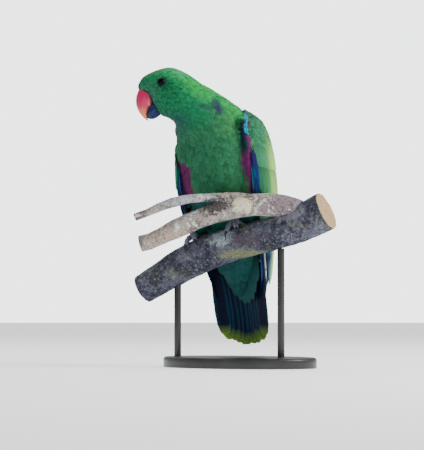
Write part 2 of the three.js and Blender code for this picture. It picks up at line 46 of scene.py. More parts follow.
# Where things are
BIRD_AT = np.array([-20.0, 2.0, 0.0])  # the bird's middle, from the middle of the stand's underside
HEAD_AT = (-70.0, 317.0, 36.0)  # its middle, as the photo shows it: to the right, up and towards the camera
SEEN_FROM = math.radians(35)  # the camera stands this far round to the bird's left of its front
RIGHT = np.array([math.cos(SEEN_FROM), math.sin(SEEN_FROM), 0.0])
TOWARDS = np.array([math.sin(SEEN_FROM), -math.cos(SEEN_FROM), 0.0])
UP = np.array([0.0, 0.0, 1.0])
HEAD_FORWARD, HEAD_LEFT = -RIGHT, TOWARDS  # the camera sees the head in full profile
SIDES = {"left": 1, "right": -1}


def as_seen(across, height, towards):
    """A place by how far to the right, up and towards the camera it is."""
    return across * RIGHT + height * UP + towards * TOWARDS


def in_head(ahead, above, left=0.0):
    """A place in the head's profile, ahead of and above its middle."""
    return as_seen(HEAD_AT[0] - ahead, HEAD_AT[1] + above, HEAD_AT[2] + left)


def head_places(points):
    """How far points are ahead of, above and to the left of the head's middle."""
    from_middle = points - in_head(0, 0)
    return from_middle @ HEAD_FORWARD, from_middle[..., 2], from_middle @ HEAD_LEFT


# Reading tables of rows, the first number of a row being its key
def smooth_row(rows, at):
    """Rows read at broken numbers, along a smooth curve through them."""
    rows = np.asarray(rows, float)
    at = np.asarray(at, float)
    last = len(rows) - 1
    i = np.clip(np.floor(at).astype(int), 0, last - 1)
    s = (at - i)[..., None]
    a, b, c, d = (rows[np.clip(i + k, 0, last)] for k in (-1, 0, 1, 2))
    return b + 0.5 * s * (c - a + s * (2 * a - 5 * b + 4 * c - d + s * (3 * (b - c) + d - a)))


def row_number(rows, key):
    """The broken row number at which a key would stand."""
    keys = np.array([row[0] for row in rows], float)
    sign = 1 if keys[-1] > keys[0] else -1
    return np.interp(sign * np.asarray(key, float), sign * keys, np.arange(len(keys)))


def smooth_table(rows, key):
    return np.moveaxis(smooth_row(rows, row_number(rows, key))[..., 1:], -1, 0)


def table(rows, key):
    """Straight reading of a table."""
    at = row_number(rows, key)
    return [np.interp(at, np.arange(len(rows)), column) for column in np.array(rows, float).T[1:]]


def smoothly(low, high, value):
    """From 0 at one value to 1 at the other, whichever is higher, with soft ends."""
    share = np.clip((value - low) / (high - low), 0, 1)
    return share * share * (3 - 2 * share)


def band(low, risen, falling, high, value):
    """1 between two limits, fading to 0 outside them."""
    return smoothly(low, risen, value) * smoothly(high, falling, value)


def unit(vectors):
    return vectors / np.maximum(np.linalg.norm(vectors, axis=-1, keepdims=True), 1e-9)


# The folded wings: a wrap round the body on which each feather is laid out flat.
# Each row is a height, the wrap's middle from front to back, and its radius.
WRAP = [
    [303, -9, 27], [294, -9, 37.4], [285, -9.5, 46.5], [276, -9.5, 51.1], [262, -8.5, 55.7],
    [247, -6.5, 58.5], [221, -3, 60.4], [201, 0, 60.2], [165, 7, 56.4], [135, 12, 50.6], [112, 16, 46.4],
    [95, 19, 42.4], [70, 22, 38.5],
]
HUG, HUGS_FROM = 0.002, 30  # how soon, and from where on, the wrap closes in towards the back
# The wing's fleshy part: a height, its front and back edge along the wrap, and its thickness
WING_CORE = [
    [299, 3, 12, 2], [293, -4, 40, 6], [284, -13, 52, 9], [276, -18, 60, 10], [256, -20, 68, 10],
    [227, -22, 74, 9], [200, -22, 72, 8], [180, -18, 66, 6], [160, -10, 54, 4], [140, 0, 38, 2],
]
ROUNDNESS = 2.2  # of sections: 2 is an ellipse, more is squarer

# The right wing is held closer to the body. It is also drawn forward, in full up to the first place along the
# wrap and not at all from the second on, and its front edge closes in on the flank from one place to another.
TIGHTER = 4.2
DRAWN, CLOSED = (-16, 46), (-28, -64)
# By how much, at some heights
FORWARD = [[268, 0], [246, 12], [232, 20], [176, 20], [130, 14], [100, 9], [70, 4]]
CLOSING = [[268, 0], [246, 3.5], [230, 4.7], [210, 7.5], [190, 11.7], [160, 12], [120, 3], [100, 0]]


def wrap_at(side, height):
    """The wrap's middle and radius."""
    middle, radius = smooth_table(WRAP, height)
    return middle, radius - TIGHTER * (side < 0) * smoothly(292, 262, height)


def closed_in(along, height):
    """How far the right wing's front edge lies in towards the flank."""
    return table(CLOSING, height)[0] * smoothly(*CLOSED, along)


def on_wrap(side):
    """Lays places on a wing: along the wrap, at a height, and out from it."""
    def place(along, height, out):
        middle, radius = wrap_at(side, height)
        if side < 0:
            share = np.clip((DRAWN[1] - along) / (DRAWN[1] - DRAWN[0]), 0, 1)
            along = along - table(FORWARD, height)[0] * share
            out = out - closed_in(along, height)
        turn = along / radius
        reach = radius + out - HUG * np.maximum(along - HUGS_FROM, 0) ** 2
        return np.stack([side * reach * np.cos(turn), middle + reach * np.sin(turn), height + 0 * reach], -1)

    return place


def off_wrap(points, side):
    """Along, and out, of points beside a wing."""
    height = points[..., 2]
    middle, radius = wrap_at(side, height)
    x, y = side * points[..., 0], points[..., 1] - middle
    along, out = np.arctan2(y, x) * radius, np.hypot(x, y) - radius
    if side < 0:
        out = out + closed_in(along, height)
        forward = table(FORWARD, height)[0]
        slope = forward / (DRAWN[1] - DRAWN[0])
        spread = (along + DRAWN[1] * slope) / (1 + slope)
        along = np.where(spread < DRAWN[0], along + forward, np.where(spread > DRAWN[1], along, spread))
    return along, out


# The tail's line: a height, then the tail's middle there, to the left and back
TAIL_LINE = [[122, 0, 28], [26, 7, 38]]


def on_tail(across, height, out):
    (top, *upper), (low, *lower) = TAIL_LINE
    share = (height - low) / (top - low)
    middle, back = (end + share * (start - end) for start, end in zip(upper, lower))
    return np.stack([middle + across, back + out, height + 0 * across], -1)


# Materials: arithmetic on a socket adds the nodes for it
def tint(red, green, blue):
    """A colour named by its screen values, as linear light."""
    values = np.array([red, green, blue]) / 255
    return tuple(np.where(values <= 0.04045, values / 12.92, ((values + 0.055) / 1.055) ** 2.4)) + (1.0,)


def grey(value):
    return value, value, value, 1.0


class Field:
    """A value or colour that varies over a surface."""

    def __init__(self, paint, socket):
        self.paint, self.socket = paint, socket

    def maths(self, operation, *others):
        return self.paint.add("Math", {"operation": operation}, dict(enumerate((self, *others))))

    def __add__(self, other):
        return self.maths("ADD", other)

    def __mul__(self, other):
        return self.maths("MULTIPLY", other)

    def __sub__(self, other):
        return self.maths("SUBTRACT", other)

    def __rsub__(self, other):
        return self.paint.add("Math", {"operation": "SUBTRACT"}, {0: other, 1: self})

    __radd__ = __add__
    __rmul__ = __mul__

    def step(self, low, high):
        """Rises smoothly from 0 to 1 between two values."""
        sockets = {"Value": self, "From Min": low, "From Max": high}
        return self.paint.add("MapRange", {"interpolation_type": "SMOOTHSTEP"}, sockets)


class Paint:
    """A material under the brush: one method adds any node."""

    def __init__(self, name):
        self.material = bpy.data.materials.new(name)
        self.material.use_nodes = True
        self.tree = self.material.node_tree
        self.shader = self.tree.nodes["Principled BSDF"]

    def feed(self, socket, value):
        if isinstance(value, Field):
            self.tree.links.new(value.socket, socket)
        elif socket.type == "RGBA" and not hasattr(value, "__len__"):
            socket.default_value = grey(value)
        else:
            socket.default_value = value

    def add(self, kind, settings=None, sockets=None, out=0):
        node = self.tree.nodes.new("ShaderNode" + kind)
        for name, value in (settings or {}).items():
            if name == "stops":
                self.set_stops(node.color_ramp, value)
            else:
                setattr(node, name, value)
        for key, value in (sockets or {}).items():
            self.feed(node.inputs[key], value)
        return Field(self, node.outputs[out])

    @staticmethod
    def set_stops(ramp, stops):
        while len(ramp.elements) < len(stops):
            ramp.elements.new(1.0)
        for element, (position, colour) in zip(ramp.elements, stops):
            element.position = position
            element.color = colour

    def place(self):
        return self.add("TexCoord", out="Object")

    def attribute(self, name, out="Vector"):
        return self.add("Attribute", {"attribute_name": name}, out=out)

    def part(self, vector, index):
        """One number of a vector: 0, 1 or 2."""
        return self.add("SeparateXYZ", {}, {0: vector}, out=index)

    def noise(self, vector, scale, detail=3.0, rough=0.55, distort=0.0):
        sockets = {"Vector": vector, "Scale": scale, "Detail": detail, "Roughness": rough}
        return self.add("TexNoise", {}, {**sockets, "Distortion": distort})

    def cells(self, vector, scale, feature="F1"):
        return self.add("TexVoronoi", {"feature": feature}, {"Vector": vector, "Scale": scale})

    def vectors(self, operation, *vectors, out=0):
        return self.add("VectorMath", {"operation": operation}, dict(enumerate(vectors)), out=out)

    def mix(self, share, first, second, how="MIX"):
        settings = {"data_type": "RGBA", "blend_type": how}
        return self.add("Mix", settings, {0: share, 6: first, 7: second}, out=2)

    def shaded(self, colour, value):
        """A colour made darker or brighter by a value."""
        return self.mix(1.0, colour, self.add("CombineXYZ", {}, {0: value, 1: value, 2: value}), "MULTIPLY")

    def ramp(self, value, *stops):
        return self.add("ValToRGB", {"stops": stops}, {0: value})

    def bump(self, height, distance, strength=1.0):
        return self.add("Bump", {}, {"Height": height, "Distance": distance, "Strength": strength})

    def finish(self, **sockets):
        """Sets the shader's sockets by name, and gives the material."""
        for name, value in sockets.items():
            self.feed(self.shader.inputs[name.replace("_", " ")], value)
        return self.material


PALER = (1.3, 1.25, 1.1, 1.0)  # what a feather's rim makes of its colour


def feather_paint(name, barbs, gloss=0.52, edge=0.25, varied=0.5):
    """Plumage: its colours ride on the vanes, with fine barbs and a paler edge drawn on each."""
    paint = Paint(name)
    colour = paint.attribute("plumage", "Color")
    vane = paint.attribute("vane")
    along, beside, chance = (paint.part(vane, k) for k in range(3))
    from_shaft = beside.maths("ABSOLUTE")
    slant = (along - from_shaft * 0.35) * barbs
    comb = (slant + paint.noise(paint.place(), 900.0, 2.0) * 1.6).maths("SINE")
    value = 1.0 + (chance - 0.5) * varied + (paint.noise(paint.place(), 850.0, 2.0) - 0.5) * 0.9
    shaded = paint.shaded(colour, (value + comb * 0.07) * (0.6 + along.step(0.0, 0.9) * 0.42))
    rim = along.step(0.72, 1.0) * 0.6 + from_shaft.step(0.62, 1.0) * 0.4
    height = comb * 0.5 + (1 - from_shaft.step(0.0, 0.12)) * 0.8
    return paint.finish(
        Base_Color=paint.mix(rim * edge, shaded, paint.mix(1.0, colour, PALER, "MULTIPLY")),
        Roughness=gloss + comb * 0.05 + chance * 0.08,
        Normal=paint.bump(height, 0.00012, 0.5),
        Specular_IOR_Level=0.07,
    )


def skin_paint():
    """Down and skin under the feathers, in the plumage's own colours darkened as painted shade for the gaps
    between feathers.
    """
    paint = Paint("under_plumage")
    fluff = paint.noise(paint.place(), 700.0, 4.0)
    # Painted shade: the plumage colour darkened to between a quarter and six tenths of itself
    shade = paint.ramp(fluff, (0.3, grey(0.25)), (0.7, grey(0.6)))
    dark = paint.mix(1.0, paint.attribute("plumage", "Color"), shade, "MULTIPLY")
    return paint.finish(Base_Color=dark, Roughness=0.85, Normal=paint.bump(fluff, 0.0006), Sheen_Weight=0.2)


def bill_upper_paint():
    """Coral bill: pink red above, orange towards the tip, brighter along the cutting edge, painted shade at
    its base.
    """
    paint = Paint("coral_bill")
    place = paint.place()
    nose = (in_head(0, 0) + BIRD_AT) @ HEAD_FORWARD * MM
    ahead = paint.vectors("DOT_PRODUCT", place, tuple(HEAD_FORWARD), out="Value") - nose
    height = paint.part(place, 2)
    rise = height - HEAD_AT[1] * MM
    mottled = paint.noise(place, 260.0, 4.0)

    def below(field, start, end):
        """Rises from one distance under the head's middle to another."""
        return field.step((HEAD_AT[1] - start) * MM, (HEAD_AT[1] - end) * MM)

    # Painted shade along the base line, where the feathers meet the bill
    base = (rise - BASE_LINE[1] * MM - (ahead - BASE_LINE[0] * MM) * 0.75).step(-0.0014, -0.0003)
    # Painted shadow in the corner of the gape
    gape_shadow = ahead.step(0.0178, 0.0166) * rise.step(-0.0165, -0.0135)
    cutting_edge = (ahead + rise * -0.32).step(0.0256, 0.0222)
    streaks = paint.noise(paint.vectors("MULTIPLY", place, (1.0, 1.0, 0.25)), 900.0, 3.0)
    colour = paint.mix(below(height + mottled * 0.004, 14, 24), tint(184, 12, 76), tint(214, 118, 64))
    for share, over in (
        (cutting_edge * below(height, 10, 15), tint(236, 104, 74)),
        (below(height + mottled * 0.003, 27, 34) * 0.55, tint(232, 176, 120)),
        (gape_shadow * 0.85, PAINTED_SHADE),
        (base * rise.step(-0.004, -0.0005) * 0.8, PAINTED_SHADE),
        (streaks.step(0.5, 0.8) * 0.15, tint(214, 104, 104)),
    ):
        colour = paint.mix(share, colour, over)
    rings = paint.add("TexWave", {"wave_type": "BANDS", "bands_direction": "Z"},
                      {"Vector": place, "Scale": 130.0, "Distortion": 3.0, "Detail": 2.0}, out="Fac")
    return paint.finish(
        Base_Color=colour, Roughness=0.3 + mottled * 0.12,
        Normal=paint.bump(rings * 0.3 + streaks, 0.00012, 0.5),
        Coat_Weight=0.08, Coat_Roughness=0.3, Subsurface_Weight=0.08, Subsurface_Radius=(0.006, 0.002, 0.001),
        Subsurface_Scale=0.3,
    )


def bill_lower_paint():
    paint = Paint("black_bill")
    place = paint.place()
    worn = paint.noise(place, 420.0, 4.0)
    colour = paint.mix(worn.step(0.4, 0.75), tint(6, 24, 62), tint(26, 56, 104))
    streaks = paint.noise(paint.vectors("MULTIPLY", place, (1.0, 1.0, 0.3)), 900.0, 3.0)
    return paint.finish(Base_Color=colour, Roughness=0.4 + worn * 0.15, Specular_IOR_Level=0.25,
                        Normal=paint.bump(streaks, 0.0001, 0.5))


def eye_paint(side):
    """A near black eye with a dark brown ring, wet and glossy."""
    paint = Paint("eye_" + side)
    middle = (in_head(EYE["ahead"], EYE["above"], SIDES[side] * EYE["deep"]) + BIRD_AT) * MM
    place = paint.vectors("SUBTRACT", paint.place(), tuple(middle))
    depth = paint.vectors("DOT_PRODUCT", place, tuple(HEAD_LEFT * SIDES[side]), out="Value")
    pupil = depth.step(0.00395, 0.0042)
    fleck = paint.noise(place, 1500.0, 3.0)
    iris = paint.mix(fleck, tint(10, 10, 18), tint(34, 20, 18))
    colour = paint.mix(pupil, iris, tint(4, 5, 12))
    return paint.finish(Base_Color=colour, Roughness=0.03 + fleck * 0.02, Specular_IOR_Level=0.07,
                        Specular_Tint=(0.7, 0.75, 1.0, 1.0))


def lid_paint():
    paint = Paint("eyelid")
    place = paint.place()
    grain = paint.cells(place, 1400.0)
    colour = paint.mix(grain.step(0.1, 0.6), tint(6, 14, 24), tint(18, 36, 42))
    return paint.finish(Base_Color=colour, Roughness=0.5 + grain * 0.2, Normal=paint.bump(grain, 0.0002),
                        Specular_IOR_Level=0.1)


def foot_paint():
    """Grey scaly skin, dark in the creases."""
    paint = Paint("scaly_foot")
    place = paint.place()
    scales = paint.cells(place, 620.0, "DISTANCE_TO_EDGE")
    dust = paint.noise(place, 160.0, 4.0)
    plate = paint.mix(dust, tint(84, 92, 114), tint(146, 150, 168))
    colour = paint.mix(scales.step(0.0, 0.1), tint(30, 34, 52), plate)
    return paint.finish(Base_Color=colour, Roughness=0.55 + dust * 0.2,
                        Normal=paint.bump(scales.step(0.0, 0.22), 0.00035))


def claw_paint():
    paint = Paint("claw")
    place = paint.place()
    streaks = paint.noise(place, 700.0, 3.0)
    colour = paint.mix(streaks.step(0.4, 0.8), tint(14, 18, 32), tint(50, 58, 82))
    return paint.finish(Base_Color=colour, Roughness=0.38 + streaks * 0.2, Specular_IOR_Level=0.3,
                        Normal=paint.bump(streaks, 0.0001, 0.6))


def bark_paint(name, tints, patch, moss, marks):
    """Weathered bark: broad blotches, fine specks, crusts of pale lichen and patches in set places."""
    deep, dark, mid, pale, lichen = (tint(*values) for values in tints)
    paint = Paint(name)
    place = paint.place()
    broad = paint.noise(place, 38.0, 6.0, 0.6, 0.6)
    fine = paint.noise(place, 290.0, 5.0, 0.75)
    grit = paint.noise(place, 900.0, 4.0, 0.7)
    cracks = paint.noise(paint.vectors("MULTIPLY", place, (1.0, 1.0, 1.9)), 120.0, 5.0, 0.7, 1.0)
    spots = paint.noise(place, 42.0, 7.0, 0.66, 1.4)
    plates = spots.step(patch, patch + 0.05)
    crust = paint.mix(grit.step(0.35, 0.65), lichen, tint(230, 230, 222))
    green = paint.noise(place, 34.0, 4.0, 0.6, 0.5).step(0.5, 0.66) * moss
    ground = paint.mix(broad.step(0.38, 0.62), dark, mid)
    ground = paint.mix(fine.step(0.5, 0.72) * 0.75, ground, pale)
    ground = paint.mix(plates * 0.8, ground, crust)
    ground = paint.mix(green, ground, tint(118, 124, 72))
    for seen, wide, tall, values, force in marks:
        middle = tuple((as_seen(*seen) + BIRD_AT) * MM)
        shrink = (1 / (wide * MM), 1 / (wide * MM), 1 / (tall * MM))
        scaled = paint.vectors("MULTIPLY", paint.vectors("SUBTRACT", place, middle), shrink)
        far = paint.vectors("LENGTH", scaled, out="Value")
        inside = (far + (spots - 0.5) * 3.6 + (fine - 0.5) * 2.0).step(1.1, 0.88)
        shade = paint.mix(grit.step(0.3, 0.7) * 0.15, tint(*values), pale)
        ground = paint.mix(inside * force, ground, shade)
    ground = paint.mix(fine.step(0.47, 0.37) * 0.8, ground, deep)
    ground = paint.mix(cracks.step(0.38, 0.3) * 0.5, ground, tint(46, 40, 44))
    ground = paint.shaded(ground, 0.66 + grit.step(0.3, 0.7) * 0.6)
    relief = fine * 0.9 + grit * 0.3 + plates * 0.3 + cracks * 0.7
    return paint.finish(Base_Color=ground, Roughness=0.8 + grit * 0.12, Normal=paint.bump(relief, 0.0013),
                        Specular_IOR_Level=0.2)


def cut_wood_paint():
    """Sawn end of a branch: pale wood with rings round its middle."""
    paint = Paint("cut_wood")
    place = paint.place()
    swirl = paint.noise(place, 90.0, 3.0)
    grain = paint.noise(place, 700.0, 3.0)
    ring = paint.attribute("ring", "Fac")
    rings = (ring * 2.6 + swirl * 3.0).maths("SINE") * 0.5 + 0.5
    colour = paint.mix(rings, tint(122, 86, 56), tint(206, 180, 140))
    colour = paint.mix(grain.step(0.5, 0.75) * 0.4, colour, tint(128, 92, 62))
    return paint.finish(Base_Color=colour, Roughness=0.7 + grain * 0.15, Normal=paint.bump(grain, 0.0004))


def stand_finish():
    """Satin black paint with a faint orange peel and a little dust."""
    paint = Paint("stand_paint")
    place = paint.place()
    peel = paint.noise(place, 900.0, 2.0)
    dust = paint.noise(place, 40.0, 5.0)
    colour = paint.mix(dust.step(0.45, 0.75) * 0.5, tint(26, 26, 28), tint(52, 52, 56))
    return paint.finish(Base_Color=colour, Roughness=0.34 + dust * 0.16, Metallic=0.0,
                        Normal=paint.bump(peel, 0.00006, 0.6), Coat_Weight=0.15)


# Handling pieces
def select_only(*objects):
    if bpy.context.object and bpy.context.object.mode != "OBJECT":
        bpy.ops.object.mode_set(mode="OBJECT")
    bpy.ops.object.select_all(action="DESELECT")
    for piece in objects:
        piece.select_set(True)
    bpy.context.view_layer.objects.active = objects[0]


def modify(piece, kind, **settings):
    """Adds a modifier and applies it."""
    select_only(piece)
    modifier = piece.modifiers.new(kind.title(), kind)
    for name, value in settings.items():
        setattr(modifier, name, value)
    bpy.ops.object.modifier_apply(modifier=modifier.name)


def settle(piece):
    """Puts a piece's place in its mesh, so that its object sits at the origin."""
    select_only(piece)
    bpy.ops.object.transform_apply(location=True, rotation=True, scale=True)


def outward(piece, merged=False):
    """Turns a piece's faces outwards, its loose triangles merged first if need be."""
    select_only(piece)
    bpy.ops.object.mode_set(mode="EDIT")
    bpy.ops.mesh.select_all(action="SELECT")
    if merged:
        bpy.ops.mesh.remove_doubles(threshold=1e-6)
    bpy.ops.mesh.normals_make_consistent(inside=False)
    bpy.ops.object.mode_set(mode="OBJECT")


def in_scene(name, data):
    thing = bpy.data.objects.new(name, data)
    bpy.context.scene.collection.objects.link(thing)
    return thing


def joined(*pieces):
    select_only(*pieces)
    if len(pieces) > 1:
        bpy.ops.object.join()
    return bpy.context.view_layer.objects.active


def copy_of(*nodes):
    """One new object with the shapes of some solids."""
    copies = []
    for name in nodes:
        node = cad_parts[name]
        copies.append(in_scene("copy", node.data.copy()))
        copies[-1].matrix_world = node.matrix_world.copy()
    piece = joined(*copies)
    settle(piece)
    outward(piece, merged=True)
    piece.data.materials.clear()
    return piece


def remeshed(piece, voxel, smoothing):
    """A seamless surface over all that a piece holds, softened."""
    modify(piece, "REMESH", mode="VOXEL", voxel_size=voxel * MM)
    modify(piece, "SMOOTH", factor=0.5, iterations=smoothing)
    return piece


def read(rows, what):
    """A vector of each row of a mesh's own table, such as its vertices' places."""
    flat = np.empty(len(rows) * 3, np.float32)
    rows.foreach_get(what, flat)
    return flat.reshape(-1, 3).astype(float)


def points_of(piece):
    """A piece's vertices in the bird's frame."""
    return read(piece.data.vertices, "co") / MM - BIRD_AT


def normals_of(piece):
    return read(piece.data.vertices, "normal")


def move_points(piece, points):
    piece.data.vertices.foreach_set("co", ((points + BIRD_AT) * MM).astype(np.float32).ravel())
    piece.data.update()


def new_mesh(name, points, faces):
    """A piece from points in the bird's frame and faces of four corners each."""
    mesh = bpy.data.meshes.new(name)
    mesh.vertices.add(len(points))
    mesh.loops.add(faces.size)
    mesh.loops.foreach_set("vertex_index", faces.astype(np.int32).ravel())
    mesh.polygons.add(len(faces))
    mesh.polygons.foreach_set("loop_start", np.arange(len(faces), dtype=np.int32) * faces.shape[1])
    piece = in_scene(name, mesh)
    move_points(piece, points)
    mesh.update(calc_edges=True)
    return piece


def dress(piece, name, paint, slot, *nodes):
    """Names and finishes a piece, and hides the solids it stands for."""
    piece.name = piece.data.name = name
    piece.data.materials.clear()
    piece.data.materials.append(paint)
    piece.data.shade_smooth()
    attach(piece, "root")
    if nodes:
        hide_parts(*nodes)
    return piece


def carry(piece, name, kind, values):
    """Puts a value or colour on each vertex of a piece."""
    attribute = piece.data.attributes.new(name, kind, "POINT")
    field = "color" if kind == "FLOAT_COLOR" else "vector"
    attribute.data.foreach_set(field, values.astype(np.float32).ravel())


# Colours of the plumage
BREAST, BREAST_LIT, BELLY = tint(35, 96, 66), tint(44, 103, 64), tint(32, 86, 64)
FACE, CHEEK, CROWN = tint(44, 110, 84), tint(24, 100, 64), tint(44, 150, 92)
NAPE, SHOULDER, MANTLE = tint(24, 142, 66), tint(44, 112, 62), tint(36, 126, 62)
# Of the next line's tints the last is painted shade, not a plumage colour: the dark laid where shade falls by
# the bill, under the limb and before the left wing
THROAT, UNDERTAIL, SLATE, PAINTED_SHADE = tint(20, 72, 66), tint(24, 70, 70), tint(34, 46, 66), tint(12, 34, 44)
# Of the next line's tints the last is a painted highlight: the pale green of the wing's lit outline
WING_GREEN, WING_DARK, RIM_LIGHT_GREEN = tint(56, 120, 78), tint(38, 104, 74), tint(150, 194, 104)
TURQUOISE, CRIMSON = tint(0, 140, 176), tint(82, 20, 72)
VIOLET, DEEP_BLUE, NAVY, TEAL = tint(34, 34, 98), tint(14, 46, 94), tint(4, 12, 42), tint(26, 114, 146)
YELLOW_GREEN, GREY_BLUE, WHITE_SHAFT = tint(120, 160, 60), tint(20, 34, 62), tint(226, 232, 240)
BLUE_GREY, SHADED_THIGH_TEAL, WING_TEAL = tint(40, 72, 116), tint(16, 96, 94), tint(34, 98, 82)


def layered(ground, shape, *layers):
    """A ground colour with others laid over it in turn, each through its mask."""
    colour = np.zeros(shape + (4,)) + np.array(ground)
    for mask, over in layers:
        colour = colour + np.asarray(mask)[..., None] * (np.array(over) - colour)
    return colour


# A ruffled slate patch on the neck: across and height as seen, half its width and height, and its strength
SLATE_PATCHES = [(-14, 302.5, 6, 9.5, 0.8), (-12.5, 298.5, 3.4, 5.5, 0.9), (-26, 300, 8, 3.8, 0.5)]
BASE_LINE = (21.0, -1.5)  # the upper bill's base line runs up from here: ahead of and above the head's middle
# The crimson flanks: how far forward they reach round the body, as an angle, at some heights
FLANK_LEFT = [[150, 0], [175, 0.2], [200, 0.37], [222, 0.5], [240, 0.6], [250, 0.6], [262, 0.47], [272, 0.42]]
FLANK_RIGHT = [
    [150, 0.3], [175, 0.95], [204, 1.18], [216, 1.18], [222, 1.2], [227, 1.23], [233, 1.24], [239, 1.1],
    [245, 0.8], [250, 0.5],
]


def flank_mask(points):
    """Where the crimson flanks show between the body and the wings' front edges."""
    x, y, z = points[..., 0], points[..., 1], points[..., 2]
    turn = np.arctan2(-(y + 3), np.abs(x))
    front = np.where(x > 0, table(FLANK_LEFT, z)[0], table(FLANK_RIGHT, z)[0])
    top = np.where(x > 0, 276, 250)
    within = smoothly(0.07, -0.05, turn - front)
    return within * smoothly(top + 4, top - 6, z) * smoothly(194, 199, z) * (y < 20)


def slate_masks(points):
    across = points @ RIGHT
    for middle, height, wide, tall, force in SLATE_PATCHES:
        above = points[..., 2] - height
        patch = np.hypot((across - middle + above * 0.3) / wide, above / tall)
        yield smoothly(1.4, 0.5, patch) * (points @ TOWARDS > -8) * force


def body_colour(points):
    """The plumage's colour at places on the head, neck, body, thighs and tail coverts."""
    x, y, z = points[..., 0], points[..., 1], points[..., 2]
    ahead, above, _ = head_places(points)
    across = points @ RIGHT
    lower_front = (z > 140) * smoothly(12, 0, y)
    # Painted shade under the perch's limb, on the lower front of the body
    limb_shadow = band(178, 184, 194, 201, z) * smoothly(-6, -14, across)
    behind_tail = y - table(TAIL_LINE, z)[1]
    back = np.where(z > 140, smoothly(6, 30, y) * (z < 320), smoothly(-1, 3, behind_tail))
    below_nape = (327 - 0.63 * (across + 30) - z) * 0.85
    nape = smoothly(np.interp(across, [-40, 0], [26, 18]), 5, below_nape)
    nape = nape * smoothly(-68, -52, across) * np.interp(across, [-30, 0], [1, 0.75])
    near_head = smoothly(-30, -12, ahead)
    # Painted shade on the feathers along the bill's base line
    from_base = above - 0.75 * (ahead - BASE_LINE[0]) - BASE_LINE[1]
    bill_base_shadow = smoothly(1.4, 0.5, from_base) * smoothly(-3, 0, above)
    bill_base_shadow = bill_base_shadow * band(18, 20, 25, 27, ahead)
    # Painted shade in the gap before the left wing's front edge, turning crimson further out
    from_strip = across - 13.6 - (290 - z) * 0.09
    strip = smoothly(-2.5, 0.5, from_strip) * smoothly(290, 284, z) * smoothly(244, 258, z)
    strip = strip * (x > 15) * (y < 0)
    return layered(
        BREAST, points.shape[:-1],
        # Painted light: the breast lighter and warmer towards its lit right side as seen
        (smoothly(-20, 45, across) * smoothly(300, 200, z) * 0.8, BREAST_LIT),
        (smoothly(215, 165, z), BELLY),
        # Painted shade tint: the lower front and thighs go teal as they look in deep shade; their own colour
        # is green
        (smoothly(206, 186, z) * lower_front * 0.75, SHADED_THIGH_TEAL),
        (limb_shadow * lower_front * 0.6, PAINTED_SHADE),
        (back, MANTLE),
        (smoothly(256, 282, z) * smoothly(-30, 10, across) * 0.7, SHOULDER),
        (smoothly(262, 292, z) * smoothly(-12, -34, across), CHEEK),
        (nape, NAPE),
        (smoothly(262, 285, z) * smoothly(-16, -34, above) * smoothly(-36, -12, ahead), THROAT),
        (near_head * smoothly(2, 22, above), CROWN),
        (near_head * smoothly(2, 17, ahead) * smoothly(18, 2, above), FACE),
        (bill_base_shadow * 0.4, PAINTED_SHADE),
        *((mask, SLATE) for mask in slate_masks(points)),
        (smoothly(150, 124, z) * smoothly(3, -1, behind_tail), UNDERTAIL),
        (flank_mask(points), CRIMSON),
        (strip, PAINTED_SHADE),
        (strip * smoothly(5.6, 6.8, from_strip), CRIMSON),
    )


# The guide: one seamless surface over flesh and wings, which the small feathers lie on
FLESH = ("head", "neck", "torso", "leg_left", "leg_right", "tail_coverts_under", "tail_coverts_over")
EYE = {"ahead": 3.7, "above": 9.2, "radius": 5.2, "deep": 18.9}
EYES = ("eye_left", "eye_right")


def lofted(name, rings):
    """A closed piece through rings of points, with a fan of triangles at each end."""
    count, around = rings.shape[:2]
    points = np.concatenate([rings.reshape(-1, 3), rings[:1].mean(1), rings[-1:].mean(1)])
    number = np.arange(count * around).reshape(count, around)
    nexts = np.roll(number, -1, 1)
    middle = np.full(around, count * around)
    quads = np.stack([number[:-1], nexts[:-1], nexts[1:], number[1:]], -1).reshape(-1, 4)
    start = np.stack([number[0], middle, nexts[0]], -1)
    end = np.stack([nexts[-1], middle + 1, number[-1]], -1)
    mesh = bpy.data.meshes.new(name)
    mesh.from_pydata(((points + BIRD_AT) * MM).tolist(), [], quads.tolist() + start.tolist() + end.tolist())
    mesh.update()
    piece = in_scene(name, mesh)
    outward(piece)
    return piece


def wing_core(side, raised, name):
    """The wing's fleshy part, its outside raised or sunk a little."""
    onto = on_wrap(side)
    heights = np.linspace(WING_CORE[0][0], WING_CORE[-1][0], 34)
    turn = np.linspace(0, 2 * math.pi, 40, endpoint=False)
    front, rear, thick = (np.array(column)[:, None] for column in table(WING_CORE, heights))

    def squared(value):
        return np.sign(value) * np.abs(value) ** (2 / ROUNDNESS)

    along = front + (rear - front) * (0.5 - 0.5 * squared(np.cos(turn)))
    fade = 0.12 + 0.88 * smoothly(236, 262, heights) if raised > 0 else 1
    lifted = (raised * smoothly(300, 283, heights) * fade)[:, None]
    out = -thick / 2 - 1.2 + (thick / 2) * squared(np.sin(turn)) + lifted * (np.sin(turn) > 0)
    return lofted(name, onto(along, heights[:, None] + 0 * along, out))


def filled_flank(points):
    """How far the left flank fills out to meet the wing's front edge from below."""
    along, out = off_wrap(points, 1)
    height = points[:, 2]
    past_front = along - table(WING_CORE, height)[0]
    here = band(-13, -5, 4, 10, past_front) * (points[:, 0] > 0)
    here = here * band(158, 174, 279, 290, height)
    away = points - np.stack([0 * out, wrap_at(1, height)[0], height], -1)
    return unit(away) * (here * np.clip(-2.2 - out, 0, 9))[:, None]


